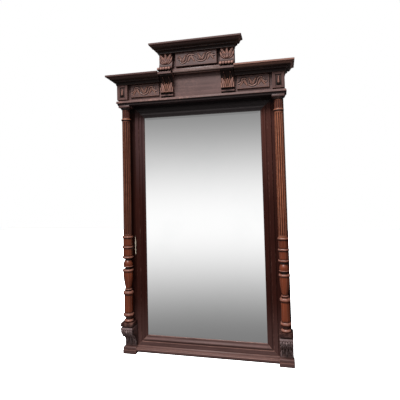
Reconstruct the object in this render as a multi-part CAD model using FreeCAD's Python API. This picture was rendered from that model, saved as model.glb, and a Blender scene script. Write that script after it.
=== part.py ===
"""Tall wall mirror in carved and turned walnut, with a broken cornice and a raised crest.

Millimetres. X runs across the mirror, Y goes back to the wall, Z is up.
The origin is on the floor, in the middle of the overall width and depth.
Depths are written as distances in front of the wall, and heights as levels above the floor.
"""
import FreeCAD
import Part
import math
import os

os.makedirs("parts", exist_ok=True)
V = FreeCAD.Vector
FULL_TURN = 360

# Glass and its opening
opening_width = 702.0
opening_height = 1306.0
opening_bottom = 100.0
glass_thickness = 5.0
rebate_width = 11.0
rebate_overlap = 9.0
bevel_width = 14.0
bevel_drop = 1.6
block_length = 42.0
block_width = 18.0
blocks_up = 4
blocks_across = 2

# Frame of stiles and rails, and the boards behind it
rail_lift = 13.0
frame_thickness = 22.0
stile_reveal = 13.0
stile_margin = 28.0
tenon_length = 60.0
tenon_thickness = 8.0
tenon_shoulder = 9.0
backboard_thickness = 8.0
backboard_lap = 32.0
backboard_count = 4
backboard_gap = 1.0

# Moulding round the glass
moulding_lip = 16.0
moulding_bead = 12.0
moulding_groove = 8.0
moulding_band = 22.0
lip_height = 4.0
cove_height = 7.0
bead_swell = 3.5
groove_height = 3.5
band_height = 9.0

# Foot: plinths and the moulding between them
plinth_width = 78.0
plinth_gap = 5.0
plinth_height = 38.0
plinth_projection = 38.0
plinth_step = 6.0
plinth_groove_level = 20.0
plinth_groove_height = 3.0
plinth_groove_depth = 3.0
plinth_rounding = 7.0
base_gap = 2.0
base_projection = 36.0
base_fillet_height = 7.0
base_fillet_projection = 26.0
base_groove_height = 5.0
base_groove_depth = 6.0

# Bracket under the column, with the grooved block on it
bracket_set = 4.5
bracket_height = 123.0
bracket_projection = 83.0
bracket_toe_projection = 16.0
bracket_cap_height = 14.0
bracket_toe_height = 28.0
groove_block_set = 4.5
groove_block_height = 9.0
groove_block_projection = 74.0
base_block_overhang = 1.0
base_block_height = 18.0
base_block_projection = 81.0

# Column, from the foot up
column_stand_off = 43.0
chamfer_share = 0.55
torus_radius = 19.5
torus_height = 17.0
foot_neck_radius = 18.0
foot_neck_height = 17.0
foot_ring_half = 23.5
foot_ring_height = 19.0
lower_drum_half = 22.0
lower_drum_height = 107.0
waist_ring_height = 21.0
waist_half = 13.5
waist_gap = 6.0
small_ring_half = 17.5
small_ring_height = 8.0
vase_half = 25.0
vase_taper_height = 76.0
vase_shoulder_height = 24.0
ring_half = 26.5
shoulder_ring_height = 14.0
bulb_neck_radius = 15.0
bulb_gap = 15.0
lip_ring_radius = 25.5
lip_ring_height = 5.0
bulb_radius = 24.0
bulb_height = 35.0
bulb_neck_height = 10.0
drum_half = 24.0
drum_height = 48.0
ring_height = 11.5
shaft_radius = 24.0
flute_count = 12
flute_radius = 4.2
flute_sink = 2.1
flute_margin = 14.0
collar_radius = 25.5
collar_height = 12.0
neck_radius = 21.0
neck_height = 52.0
ovolo_radius = 30.0
ovolo_height = 14.0
abacus_width = 68.0
abacus_height = 12.0

# Architrave board and the string moulding round it
architrave_height = 26.0
architrave_overhang = 7.0
architrave_projection = 74.0
string_projection = 11.5
string_lean = 3.0
string_nose = 12.0

# Lower frieze
frieze_height = 94.0
frieze_overhang = 10.0
frieze_projection = 62.0
frieze_board_thickness = 14.0
frieze_end_thickness = 16.0
back_board_thickness = 14.0
end_block_width = 66.0
end_block_thickness = 24.0
end_block_foot = 6.0
end_block_foot_set = 4.0
end_panel_width = 34.0
end_panel_rail = 12.0
end_panel_depth = 4.0
drop_level = 14.0
drop_height = 56.0
drop_base_width = 25.0
drop_top_width = 7.0
drop_relief = 12.0
drop_summit = 15.0
panel_side_gap = 9.5
panel_end_gap = 16.0
panel_foot_gap = 18.0
panel_thickness = 10.0
panel_bevel = 3.0

# Centre board and the consoles on it
centre_board_thickness = 16.0
centre_board_projection = 58.0
console_spacing = 281.0
lower_console_width = 76.5
lower_console_height = 130.0
lower_console_thickness = 24.0
lower_foot_height = 9.0
lower_foot_set = 8.0
lower_fillet_height = 9.0
lower_groove_height = 11.0
lower_groove_set = 8.0
bell_height = 49.0
bell_flare = 38.0
bell_lip_height = 8.0
plate_thickness = 12.0
plate_depth = 70.0
upper_console_width = 80.0
upper_console_height = 113.0
upper_console_thickness = 29.0
upper_foot_height = 8.0
upper_foot_depth = 50.0
upper_lip_height = 13.0
upper_lip_depth = 74.0
upper_flare_height = 56.0

# Shelf and crest panel
shelf_height = 33.0
shelf_drop = 10.0
shelf_depth = 34.0
shelf_top_depth = 24.0
shelf_nose = 9.0
crest_panel_side_gap = 18.5
crest_panel_foot_gap = 9.0
crest_panel_thickness = 31.0

# Cornices
cornice_height = 54.0
cornice_projection = 53.0
crest_cornice_height = 55.0
crest_cornice_projection = 47.0
crest_box_depth = 38.0
cornice_board_thickness = 15.0
cornice_fillet = 10.0
cornice_fascia = 17.0
cornice_bed = 4.0
bed_height = 5.0
tongue_height = 12.0
ovolo_rise = 12.0
fascia_height = 8.0
cyma_step = 4.0

# Spacers, screws and hanging plates
spacer_width = 60.0
spacer_height = 30.0
spacer_inset = 60.0
screw_head_radius = 4.0
screw_head_height = 1.2
screw_radius = 1.8
screw_length = 14.0
screw_inset = 14.0
hang_drop = 134.0
hang_plate_width = 32.0
hang_plate_height = 70.0
hang_plate_thickness = 2.5
hang_hole_radius = 4.5
hang_pocket_radius = 11.0
hang_pocket_depth = 9.0
hang_screw_offset = 25.0
hang_screw_length = 12.0
cut_over = 1.0

# Worked out: across the mirror
half_opening = opening_width / 2
moulding_width = moulding_lip + moulding_bead + moulding_groove + moulding_band
moulding_outer = half_opening + moulding_width
stile_inner = half_opening + rebate_width
plinth_inner = moulding_outer + plinth_gap
column_x = plinth_inner + plinth_width / 2
stile_outer = column_x + stile_margin
bracket_width = plinth_width - 2 * bracket_set
groove_block_width = bracket_width - 2 * groove_block_set
base_block_width = bracket_width + 2 * base_block_overhang
architrave_half = stile_outer + architrave_overhang
frieze_half = stile_outer + frieze_overhang
end_block_inner = frieze_half - end_block_width
end_block_middle = (end_block_inner + frieze_half) / 2
frieze_end_inner = frieze_half - frieze_end_thickness
console_inner = console_spacing / 2
console_outer = console_inner + upper_console_width

# Worked out: levels
opening_top = opening_bottom + opening_height
moulding_bottom = opening_bottom - moulding_width
moulding_top = opening_top + moulding_width
rail_inner_bottom = opening_bottom - rebate_width
rail_inner_top = opening_top + rebate_width
frame_top = moulding_top + stile_reveal
bracket_top = plinth_height + bracket_height
base_block_bottom = bracket_top + groove_block_height
base_block_top = base_block_bottom + base_block_height
architrave_top = frame_top + architrave_height
frieze_top = architrave_top + frieze_height
cornice_top = frieze_top + cornice_height
cornice_board_bottom = cornice_top - cornice_board_thickness
plate_bottom = architrave_top + lower_console_height
plate_top = plate_bottom + plate_thickness
crest_frieze_top = plate_top + upper_console_height
total_height = crest_frieze_top + crest_cornice_height
shelf_bottom = plate_top - shelf_drop
shelf_top = shelf_bottom + shelf_height
hang_level = frame_top - hang_drop

# Worked out: distances in front of the wall
frame_front = backboard_thickness + frame_thickness
glass_back = frame_front - glass_thickness
column_distance = frame_front + column_stand_off
architrave_front = frame_front + architrave_projection
frieze_front = frame_front + frieze_projection
end_block_front = frieze_front + end_block_thickness
back_board_front = backboard_thickness + back_board_thickness
centre_board_front = frame_front + centre_board_projection
centre_board_back = centre_board_front - centre_board_thickness
crest_front = centre_board_front + crest_box_depth
total_depth = crest_front + crest_cornice_projection
back_y = total_depth / 2


def depth(distance):
    """Y of a place at this distance in front of the wall."""
    return back_y - distance


def box(x0, x1, near, far, z0, z1):
    """Block between two X, two distances from the wall and two levels."""
    return Part.makeBox(x1 - x0, far - near, z1 - z0, V(x0, depth(far), z0))


def plane_normal(points):
    """Unit normal of a closed outline, from all its corners."""
    total = V(0, 0, 0)
    for index, point in enumerate(points):
        total += point.cross(points[(index + 1) % len(points)])
    total.normalize()
    return total


def edges_through(points, bulges):
    """Edges round an outline; a bulge is an arc's height as a share of its chord, inwards."""
    normal = plane_normal(points)
    edges = []
    for index, start in enumerate(points):
        end = points[(index + 1) % len(points)]
        if index not in bulges:
            edges.append(Part.LineSegment(start, end).toShape())
            continue
        chord = end - start
        inwards = normal.cross(chord)
        inwards.normalize()
        middle = (start + end) * 0.5 + inwards * (chord.Length * bulges[index])
        edges.append(Part.Arc(start, middle, end).toShape())
    return edges


def face_through(points, bulges=None):
    """Plane face inside a closed outline."""
    return Part.Face(Part.Wire(edges_through(points, bulges or {})))


def run_across(outline, bulges, x0, x1):
    """Moulding of one section of (distance, level) points, running from x0 to x1."""
    points = [V(x0, depth(distance), level) for distance, level in outline]
    return face_through(points, bulges).extrude(V(x1 - x0, 0, 0))


def run_forward(outline, bulges, near, far):
    """Moulding of one section of (x, level) points, running out from the wall."""
    points = [V(x, depth(near), level) for x, level in outline]
    return face_through(points, bulges).extrude(V(0, near - far, 0))


def run_up(outline, bulges, z0, z1):
    """Post of one section of (x, distance) points, running from z0 to z1."""
    points = [V(x, depth(distance), z0) for x, distance in outline]
    return face_through(points, bulges).extrude(V(0, 0, z1 - z0))


def bar_forward(x, level, distance, length, radius):
    """Round bar that starts at a distance and goes away from the wall."""
    return Part.makeCylinder(radius, length, V(x, depth(distance), level), V(0, -1, 0))


def upright_rectangle(x0, x1, z0, z1, distance):
    """Closed rectangle between two X and two levels at one distance."""
    y = depth(distance)
    corners = [V(x0, y, z0), V(x1, y, z0), V(x1, y, z1), V(x0, y, z1)]
    return Part.makePolygon(corners + corners[:1])


def mirrored(shape):
    """The same piece on the other side."""
    return shape.mirror(V(0, 0, 0), V(1, 0, 0))


def both_sides(shapes):
    """Pieces of the right side with their mirror images, as one group."""
    return Part.makeCompound(shapes + [mirrored(shape) for shape in shapes])


def save(name, shape):
    """Check a piece, clean it and write it as a solid or a group of solids."""
    solids = [solid.removeSplitter() for solid in shape.Solids]
    if not solids:
        raise ValueError("no solid in " + name)
    for solid in solids:
        if not solid.isValid() or solid.Volume <= 0:
            raise ValueError("bad solid in " + name)
    whole = solids[0] if len(solids) == 1 else Part.makeCompound(solids)
    whole.exportStep("parts/" + name + ".step")


def save_pair(name, right_piece):
    """Write the right piece and its mirror image."""
    save(name + "_right", right_piece)
    save(name + "_left", mirrored(right_piece))


# Frame

def tenon(rail_bottom, rail_top):
    """Tongue at the right end of a rail."""
    middle = backboard_thickness + frame_thickness / 2
    near = middle - tenon_thickness / 2
    return box(stile_inner, stile_inner + tenon_length, near, near + tenon_thickness,
               rail_bottom + tenon_shoulder, rail_top - tenon_shoulder)


def rail(rail_bottom, rail_top):
    """Cross rail with a tenon at each end."""
    body = box(-stile_inner, stile_inner, backboard_thickness, frame_front, rail_bottom, rail_top)
    tongue = tenon(rail_bottom, rail_top)
    return body.fuse([tongue, mirrored(tongue)])


def stile():
    """Upright with its mortises, its screw holes and the room for the hanging plate."""
    body = box(stile_inner, stile_outer, backboard_thickness, frame_front, 0, frame_top)
    cuts = [tenon(rail_lift, rail_inner_bottom), tenon(rail_inner_top, frame_top)]
    cuts += [hang_plate_blank(), hang_pocket()] + hang_screws()
    for low, high in backboard_levels():
        cuts += backboard_screws(low, high)
    return body.cut(cuts)


def hang_x():
    """Middle of the strip of the stile's back that the backboards leave free."""
    return (stile_inner + backboard_lap + stile_outer) / 2


def hang_plate_blank():
    """Iron plate let in flush at the stile's back."""
    return box(hang_x() - hang_plate_width / 2, hang_x() + hang_plate_width / 2,
               backboard_thickness, backboard_thickness + hang_plate_thickness,
               hang_level - hang_plate_height / 2, hang_level + hang_plate_height / 2)


def hang_pocket():
    """Room in the wood for the head of the wall screw."""
    start = backboard_thickness + hang_plate_thickness
    return bar_forward(hang_x(), hang_level, start, hang_pocket_depth, hang_pocket_radius)


def hang_screws():
    """Two round-headed screws that hold one hanging plate."""
    screws = []
    for side in (-1, 1):
        level = hang_level + side * hang_screw_offset
        shank = bar_forward(hang_x(), level, backboard_thickness, hang_screw_length,
                            screw_radius)
        head = bar_forward(hang_x(), level, backboard_thickness - screw_head_height,
                           screw_head_height, screw_head_radius)
        screws.append(shank.fuse(head))
    return screws


def hang_plate():
    """The plate with its hanging hole and its two screw holes."""
    hole = bar_forward(hang_x(), hang_level, backboard_thickness - cut_over,
                       hang_plate_thickness + 2 * cut_over, hang_hole_radius)
    return hang_plate_blank().cut([hole] + hang_screws())


def moulding_section():
    """Section round the glass as (width from the opening, height over the frame)."""
    groove_start = moulding_lip + moulding_bead
    band_start = groove_start + moulding_groove
    outline = [(0, 0), (0, lip_height), (moulding_lip, cove_height),
               (groove_start, cove_height), (groove_start, groove_height),
               (band_start, groove_height), (band_start, band_height),
               (moulding_width, band_height), (moulding_width, 0)]
    cove_share = 0.12
    return outline, {1: cove_share, 2: -bead_swell / moulding_bead}


def mitre_zone(corners):
    """Room in front of the frame that one length of moulding keeps between its mitres."""
    height = cove_height + bead_swell + band_height
    return run_forward(corners, {}, frame_front, frame_front + height)


def upright_moulding():
    """Moulding along the right side of the glass."""
    outline, bulges = moulding_section()
    places = [(half_opening + width, frame_front + height) for width, height in outline]
    post = run_up(places, bulges, moulding_bottom, moulding_top)
    corners = [(half_opening, opening_bottom), (moulding_outer, moulding_bottom),
               (moulding_outer, moulding_top), (half_opening, opening_top)]
    return post.common(mitre_zone(corners))


def level_moulding(start, end):
    """Moulding along the top or the bottom, from its glass side to its outer level."""
    outline, bulges = moulding_section()
    way = 1 if end > start else -1
    places = [(frame_front + height, start + way * width) for width, height in outline]
    bar = run_across(places, bulges, -moulding_outer, moulding_outer)
    corners = [(-half_opening, start), (half_opening, start), (moulding_outer, end),
               (-moulding_outer, end)]
    return bar.common(mitre_zone(corners))


def mirror_glass():
    """Plate with a shallow bevel all round its front."""
    half = half_opening + rebate_overlap
    low = opening_bottom - rebate_overlap
    high = opening_top + rebate_overlap
    shoulder = frame_front - bevel_drop
    inset = bevel_width + rebate_overlap
    plate = box(-half, half, glass_back, shoulder, low, high)
    outer = upright_rectangle(-half, half, low, high, shoulder)
    inner = upright_rectangle(inset - half, half - inset, low + inset, high - inset, frame_front)
    return plate.fuse(Part.makeLoft([outer, inner], True, True))


def glass_blocks():
    """Softwood blocks glued in the rebate behind the glass."""
    blocks = []
    for index in range(blocks_up):
        middle = rail_inner_bottom + spread(rail_inner_top - rail_inner_bottom, index, blocks_up)
        blocks.append(box(stile_inner - block_width, stile_inner, backboard_thickness, glass_back,
                          middle - block_length / 2, middle + block_length / 2))
    for index in range(blocks_across):
        middle = spread(stile_inner, index, blocks_across)
        for low in (rail_inner_bottom, rail_inner_top - block_width):
            blocks.append(box(middle - block_length / 2, middle + block_length / 2,
                              backboard_thickness, glass_back, low, low + block_width))
    return both_sides(blocks)


def spread(length, index, count):
    """Middle of one of several equal stretches of a length."""
    return length * (2 * index + 1) / (2 * count)


def backboard_levels():
    """Bottom and top level of each backboard."""
    bottom = rail_inner_bottom - backboard_lap
    top = rail_inner_top + backboard_lap
    pitch = (top - bottom + backboard_gap) / backboard_count
    return [(bottom + index * pitch, bottom + (index + 1) * pitch - backboard_gap)
            for index in range(backboard_count)]


def backboard(low, high):
    """One thin plank across the back, with its screw holes."""
    half = stile_inner + backboard_lap
    board = box(-half, half, 0, backboard_thickness, low, high)
    screws = backboard_screws(low, high)
    return board.cut(screws + [mirrored(screw) for screw in screws])


def backboard_screws(low, high):
    """Countersunk screws at the right corners of one backboard."""
    x = stile_inner + backboard_lap - screw_inset
    screws = []
    for level in (low + screw_inset, high - screw_inset):
        head = Part.makeCone(screw_head_radius, screw_radius, screw_head_radius - screw_radius,
                             V(x, depth(0), level), V(0, -1, 0))
        screws.append(head.fuse(bar_forward(x, level, 0, screw_length, screw_radius)))
    return screws


def make_frame():
    """Stiles, rails, mouldings, glass and back."""
    save_pair("stile", stile())
    save("top_rail", rail(rail_inner_top, frame_top))
    save("bottom_rail", rail(rail_lift, rail_inner_bottom))
    save_pair("glass_moulding", upright_moulding())
    save("glass_moulding_top", level_moulding(opening_top, moulding_top))
    save("glass_moulding_bottom", level_moulding(opening_bottom, moulding_bottom))
    save("mirror_glass", mirror_glass())
    save("glass_blocks", glass_blocks())
    screws = []
    for index, (low, high) in enumerate(backboard_levels()):
        save("backboard_%d" % (index + 1), backboard(low, high))
        screws += backboard_screws(low, high)
    save("backboard_screws", both_sides(screws))
    save_pair("hanging_plate", hang_plate())
    save("hanging_screws", both_sides(hang_screws()))


# Foot

def plinth():
    """Foot block under the bracket: a rounded upper part, a groove and a deeper lower part."""
    x0 = plinth_inner
    x1 = plinth_inner + plinth_width
    front = frame_front + plinth_projection
    block = box(x0, x1, frame_front, front, 0, plinth_height)
    rounded = [edge for edge in block.Edges if is_rounded_edge(edge)]
    block = block.makeFillet(plinth_rounding, rounded)
    groove_top = plinth_groove_level + plinth_groove_height
    groove = box(x0, x1, frame_front, front, plinth_groove_level, groove_top)
    core = box(x0 + plinth_groove_depth, x1 - plinth_groove_depth, frame_front,
               front - plinth_groove_depth, plinth_groove_level, groove_top)
    lower = box(x0, x1, frame_front, front + plinth_step, 0, plinth_groove_level)
    return block.cut(groove.cut(core)).fuse(lower)


def is_rounded_edge(edge):
    """True for the top edges of the plinth, but not for the one at the frame."""
    centre = edge.CenterOfMass
    at_top = abs(centre.z - plinth_height) < cut_over
    at_frame = abs(centre.y - depth(frame_front)) < cut_over
    return at_top and not at_frame


def base_moulding():
    """Moulding along the foot of the frame, between the plinths."""
    back = frame_front + band_height
    front = frame_front + base_projection
    top = moulding_bottom - base_gap
    groove_top = top - base_fillet_height
    groove_bottom = groove_top - base_groove_height
    outline = [(frame_front, top), (back, top),
               (frame_front + base_fillet_projection, groove_top),
               (front - base_groove_depth, groove_bottom + base_groove_height / 2),
               (front, groove_bottom), (front, rail_lift), (frame_front, rail_lift)]
    ogee_share = 0.15
    swell_share = 0.12
    return run_across(outline, {1: ogee_share, 4: -swell_share}, -plinth_inner, plinth_inner)


def block_on_bracket(width, projection, bottom, height):
    """Square block on the bracket, centred under the column."""
    return box(column_x - width / 2, column_x + width / 2, frame_front,
               frame_front + projection, bottom, bottom + height)


def bracket():
    """S bracket under the column, with the grooved block that it carries."""
    front = frame_front + bracket_projection
    toe_front = frame_front + bracket_toe_projection
    cap = bracket_top - bracket_cap_height
    toe = plinth_height + bracket_toe_height
    curve_share = 0.12
    outline = [(frame_front, plinth_height), (frame_front, bracket_top), (front, bracket_top),
               (front, cap), ((front + toe_front) / 2, (cap + toe) / 2), (toe_front, toe),
               (toe_front, plinth_height)]
    body = run_across(outline, {3: -curve_share, 4: curve_share},
                      column_x - bracket_width / 2, column_x + bracket_width / 2)
    neck = block_on_bracket(groove_block_width, groove_block_projection, bracket_top,
                            groove_block_height)
    block = block_on_bracket(base_block_width, base_block_projection, base_block_bottom,
                             base_block_height)
    return body.fuse([neck, block])


def make_foot():
    """Plinths, base moulding and brackets."""
    save_pair("plinth", plinth())
    save("base_moulding", base_moulding())
    save_pair("bottom_bracket", bracket())


# Column

def turned(outline, bulges=None):
    """Solid turned about the column's axis from (radius, level) points."""
    y = depth(column_distance)
    points = [V(column_x + radius, y, level) for radius, level in outline]
    return face_through(points, bulges).revolve(V(column_x, y, 0), V(0, 0, 1), FULL_TURN)


def ring(bottom, height, radius, top_radius, share):
    """Turned ring whose side swells by a share of its slant height."""
    top = bottom + height
    return turned([(0, bottom), (radius, bottom), (top_radius, top), (0, top)], {1: -share})


def squared(outline, bulges):
    """Post with flat sides and chamfered corners that follow one side outline."""
    diagonal = (2 - chamfer_share) / math.sqrt(2)
    sides = 8
    whole = None
    for turn in range(sides // 2):
        panel = side_panel(outline, bulges, diagonal if turn % 2 else 1)
        panel.rotate(V(column_x, depth(column_distance), 0), V(0, 0, 1), FULL_TURN / sides * turn)
        whole = panel if whole is None else whole.common(panel)
    return whole


def side_panel(outline, bulges, factor):
    """The outline and its mirror image as one closed face, run through the post."""
    reach = 2 * max(half for half, level in outline)
    y = depth(column_distance) - reach
    right = [V(column_x + half * factor, y, level) for half, level in outline]
    left = [V(column_x - half * factor, y, level) for half, level in reversed(outline)]
    both = dict(bulges)
    for index, bulge in bulges.items():
        both[2 * len(outline) - 2 - index] = bulge
    return face_through(right + left, both).extrude(V(0, 2 * reach, 0))


def stacked(bottom, steps):
    """Side outline of a post from (lower half, upper half, height, share) steps."""
    outline = []
    bulges = {}
    level = bottom
    for lower, upper, height, share in steps:
        if not outline or outline[-1] != (lower, level):
            outline.append((lower, level))
        if share:
            bulges[len(outline) - 1] = -share
        level += height
        outline.append((upper, level))
    return outline, bulges, level


def column():
    """The whole post from the block up to the architrave."""
    ring_share = 0.18
    foot_share = 0.35
    vase_share = 0.02
    bulb_share = 0.14
    lip_share = 0.30
    ovolo_share = 0.18
    pieces = [ring(base_block_top, torus_height, torus_radius, torus_radius, foot_share)]
    steps = [(foot_neck_radius, foot_neck_radius, foot_neck_height, 0),
             (foot_ring_half, foot_ring_half, foot_ring_height, ring_share),
             (lower_drum_half, lower_drum_half, lower_drum_height, 0),
             (foot_ring_half, foot_ring_half, waist_ring_height, ring_share),
             (waist_half, waist_half, waist_gap, 0),
             (small_ring_half, small_ring_half, small_ring_height, ring_share),
             (waist_half, vase_half, vase_taper_height, vase_share),
             (vase_half, vase_half, vase_shoulder_height, 0),
             (ring_half, ring_half, shoulder_ring_height, ring_share),
             (bulb_neck_radius, bulb_neck_radius, bulb_gap, 0)]
    outline, bulges, level = stacked(base_block_top + torus_height, steps)
    pieces.append(squared(outline, bulges))
    pieces.append(ring(level, lip_ring_height, lip_ring_radius, lip_ring_radius, lip_share))
    level += lip_ring_height
    pieces.append(ring(level, bulb_height, bulb_radius, bulb_neck_radius, bulb_share))
    steps = [(bulb_neck_radius, bulb_neck_radius, bulb_neck_height, 0),
             (ring_half, ring_half, ring_height, ring_share),
             (drum_half, drum_half, drum_height, 0),
             (ring_half, ring_half, ring_height, ring_share),
             (drum_half, drum_half, drum_height, 0),
             (ring_half, ring_half, ring_height, ring_share)]
    outline, bulges, level = stacked(level + bulb_height, steps)
    pieces.append(squared(outline, bulges))
    abacus_bottom = frame_top - abacus_height
    neck_top = abacus_bottom - ovolo_height
    neck_bottom = neck_top - neck_height
    collar_bottom = neck_bottom - collar_height
    pieces.append(shaft(level, collar_bottom))
    pieces.append(ring(collar_bottom, collar_height, collar_radius, collar_radius, lip_share))
    pieces.append(turned([(0, neck_bottom), (neck_radius, neck_bottom),
                          (neck_radius, neck_top), (0, neck_top)]))
    pieces.append(ring(neck_top, ovolo_height, neck_radius, ovolo_radius, ovolo_share))
    half = abacus_width / 2
    pieces.append(box(column_x - half, column_x + half, column_distance - half,
                      column_distance + half, abacus_bottom, frame_top))
    return pieces[0].fuse(pieces[1:])


def shaft(bottom, top):
    """Long shaft with round-ended flutes."""
    bar = turned([(0, bottom), (shaft_radius, bottom), (shaft_radius, top), (0, top)])
    reach = shaft_radius + flute_radius - flute_sink
    low = bottom + flute_margin
    high = top - flute_margin
    cutters = []
    for index in range(flute_count):
        angle = math.radians(spread(FULL_TURN, index, flute_count))
        x = column_x + reach * math.cos(angle)
        y = depth(column_distance) + reach * math.sin(angle)
        cutters.append(Part.makeCylinder(flute_radius, high - low, V(x, y, low)))
        cutters += [Part.makeSphere(flute_radius, V(x, y, level)) for level in (low, high)]
    return bar.cut(cutters)


# Mitred mouldings

def front_run(section, start, face_x, face_front, projection, tail=0):
    """Front length of a moulding to a mitre at face_x; a negative start mitres both ends."""
    outline, bulges = section
    levels = [level for offset, level in outline]
    start_tip = start - projection if start == -face_x else start
    places = [(face_front + offset, level) for offset, level in outline]
    bar = run_across(places, bulges, start_tip, face_x + projection)
    keep = [(start, face_front - tail), (face_x, face_front - tail), (face_x, face_front),
            (face_x + projection, face_front + projection),
            (start_tip, face_front + projection), (start, face_front)]
    if tail == 0 or start_tip == start:
        keep = [corner for index, corner in enumerate(keep) if corner not in keep[:index]]
    return bar.common(run_up(keep, {}, min(levels), max(levels)))


def return_run(section, face_x, face_front, projection, back):
    """Right-hand return of a moulding, from its mitre back to a distance."""
    outline, bulges = section
    levels = [level for offset, level in outline]
    places = [(face_x + offset, level) for offset, level in outline]
    bar = run_forward(places, bulges, back, face_front + projection)
    keep = [(face_x, back), (face_x, face_front), (face_x + projection, face_front + projection),
            (face_x + projection, back)]
    return bar.common(run_up(keep, {}, min(levels), max(levels)))


def string_section():
    """Section of the string moulding as (projection, level)."""
    cove_share = 0.15
    outline = [(0, frame_top), (0, architrave_top), (string_projection - string_lean,
               architrave_top), (string_projection, architrave_top - string_nose),
               (string_lean, frame_top)]
    return outline, {3: cove_share}


def cornice_section(bottom, top, projection, tail):
    """Section of a cornice as (projection, level): bed, ovolo, fascia, cyma and fillet."""
    bed_top = bottom + bed_height
    fascia_bottom = bed_top + ovolo_rise
    fascia_top = fascia_bottom + fascia_height
    fillet_bottom = top - cornice_fillet
    cyma_start = cornice_fascia + cyma_step
    cyma_end = projection - cyma_step
    cyma_share = 0.16
    ovolo_share = 0.20
    outline = [(0, top), (projection, top), (projection, fillet_bottom),
               (cyma_end, fillet_bottom),
               ((cyma_start + cyma_end) / 2, (fascia_top + fillet_bottom) / 2),
               (cyma_start, fascia_top), (cornice_fascia, fascia_top),
               (cornice_fascia, fascia_bottom), (cornice_bed, bed_top), (cornice_bed, bottom)]
    bulges = {3: cyma_share, 4: -cyma_share, 7: ovolo_share}
    if tail:
        outline += [(-tail, bottom), (-tail, bottom + tongue_height), (0, bottom + tongue_height)]
    else:
        outline.append((0, bottom))
    return outline, bulges


# Entablature

def make_architrave():
    """Board on the frame and columns, with the string moulding on three sides."""
    save("architrave_board", box(-architrave_half, architrave_half, backboard_thickness,
                                 architrave_front, frame_top, architrave_top))
    section = string_section()
    save("string_moulding_front", front_run(section, -architrave_half, architrave_half,
                                            architrave_front, string_projection))
    save_pair("string_moulding", return_run(section, architrave_half, architrave_front,
                                            string_projection, backboard_thickness))


def end_block():
    """Block over the column, with a sunk panel, standing on a thin recessed foot."""
    foot_top = architrave_top + end_block_foot
    body = box(end_block_inner, frieze_half, frieze_front, end_block_front, foot_top, frieze_top)
    foot = box(end_block_inner + end_block_foot_set, frieze_half - end_block_foot_set,
               frieze_front, end_block_front - end_block_foot_set, architrave_top, foot_top)
    panel = box(end_block_middle - end_panel_width / 2, end_block_middle + end_panel_width / 2,
                end_block_front - end_panel_depth, end_block_front + cut_over,
                foot_top + end_panel_rail, frieze_top - end_panel_rail)
    return body.fuse(foot).cut(panel)


def end_drop():
    """Tall pointed drop on the sunk panel of the end block."""
    middle = end_block_middle
    low = architrave_top + end_block_foot + drop_level
    high = low + drop_height
    y = depth(end_block_front - end_panel_depth)
    base = [V(middle - drop_base_width / 2, y, low), V(middle + drop_base_width / 2, y, low),
            V(middle + drop_top_width / 2, y, high), V(middle - drop_top_width / 2, y, high)]
    summit = V(middle, depth(end_block_front + drop_relief), low + drop_summit)
    return pyramid(base, summit)


def pyramid(base, summit):
    """Solid over a four-sided base."""
    faces = [Part.Face(Part.makePolygon(base + base[:1]))]
    for index, corner in enumerate(base):
        following = base[(index + 1) % len(base)]
        faces.append(Part.Face(Part.makePolygon([corner, following, summit, corner])))
    solid = Part.makeSolid(Part.makeShell(faces))
    if solid.Volume < 0:
        solid.reverse()
    return solid


def tablet(x0, x1, thickness, back, z0, z1):
    """Raised panel with a small bevel round its face."""
    front = back + thickness
    body = box(x0, x1, back, front - panel_bevel, z0, z1)
    outer = upright_rectangle(x0, x1, z0, z1, front - panel_bevel)
    inner = upright_rectangle(x0 + panel_bevel, x1 - panel_bevel, z0 + panel_bevel,
                              z1 - panel_bevel, front)
    return body.fuse(Part.makeLoft([outer, inner], True, True))


def make_frieze():
    """Boards, end blocks, drops and carved panels of the lower frieze."""
    save("frieze_back_board", box(-frieze_end_inner, frieze_end_inner, backboard_thickness,
                                  back_board_front, architrave_top, cornice_board_bottom))
    save_pair("frieze_board", box(console_outer, frieze_end_inner,
                                  frieze_front - frieze_board_thickness, frieze_front,
                                  architrave_top, cornice_board_bottom))
    save_pair("frieze_end", box(frieze_end_inner, frieze_half, backboard_thickness,
                                frieze_front, architrave_top, cornice_board_bottom))
    save_pair("end_block", end_block())
    save("end_drops", both_sides([end_drop()]))
    save_pair("carved_panel", tablet(console_outer + panel_side_gap,
                                     end_block_inner - panel_end_gap, panel_thickness,
                                     frieze_front, architrave_top + panel_foot_gap, frieze_top))


def lower_console():
    """Console under the crest: foot, fillet, groove and flaring bell."""
    front = centre_board_front + lower_console_thickness
    foot_top = architrave_top + lower_foot_height
    fillet_top = foot_top + lower_fillet_height
    bell_bottom = fillet_top + lower_groove_height
    flare_front = front + bell_flare
    flare_share = 0.16
    outline = [(centre_board_front, architrave_top), (centre_board_front, plate_bottom),
               (flare_front, plate_bottom), (flare_front, plate_bottom - bell_lip_height),
               (front, bell_bottom + bell_height), (front, bell_bottom),
               (front - lower_groove_set, bell_bottom), (front - lower_groove_set, fillet_top),
               (front, fillet_top), (front, foot_top), (front - lower_foot_set, foot_top),
               (front - lower_foot_set, architrave_top)]
    return run_across(outline, {3: flare_share}, console_inner,
                      console_inner + lower_console_width)


def upper_console():
    """Scroll console beside the crest panel, flaring out to a lip at its foot."""
    foot_top = plate_top + upper_foot_height
    lip_top = foot_top + upper_lip_height
    lip_front = centre_board_front + upper_lip_depth
    front = centre_board_front + upper_console_thickness
    foot_front = centre_board_front + upper_foot_depth
    flare_share = 0.22
    lip_share = 0.20
    outline = [(centre_board_front, plate_top), (centre_board_front, crest_frieze_top),
               (front, crest_frieze_top), (front, plate_top + upper_flare_height),
               (lip_front, lip_top), (lip_front, foot_top), (foot_front, foot_top),
               (foot_front, plate_top)]
    return run_across(outline, {3: flare_share, 4: -lip_share}, console_inner, console_outer)


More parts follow.
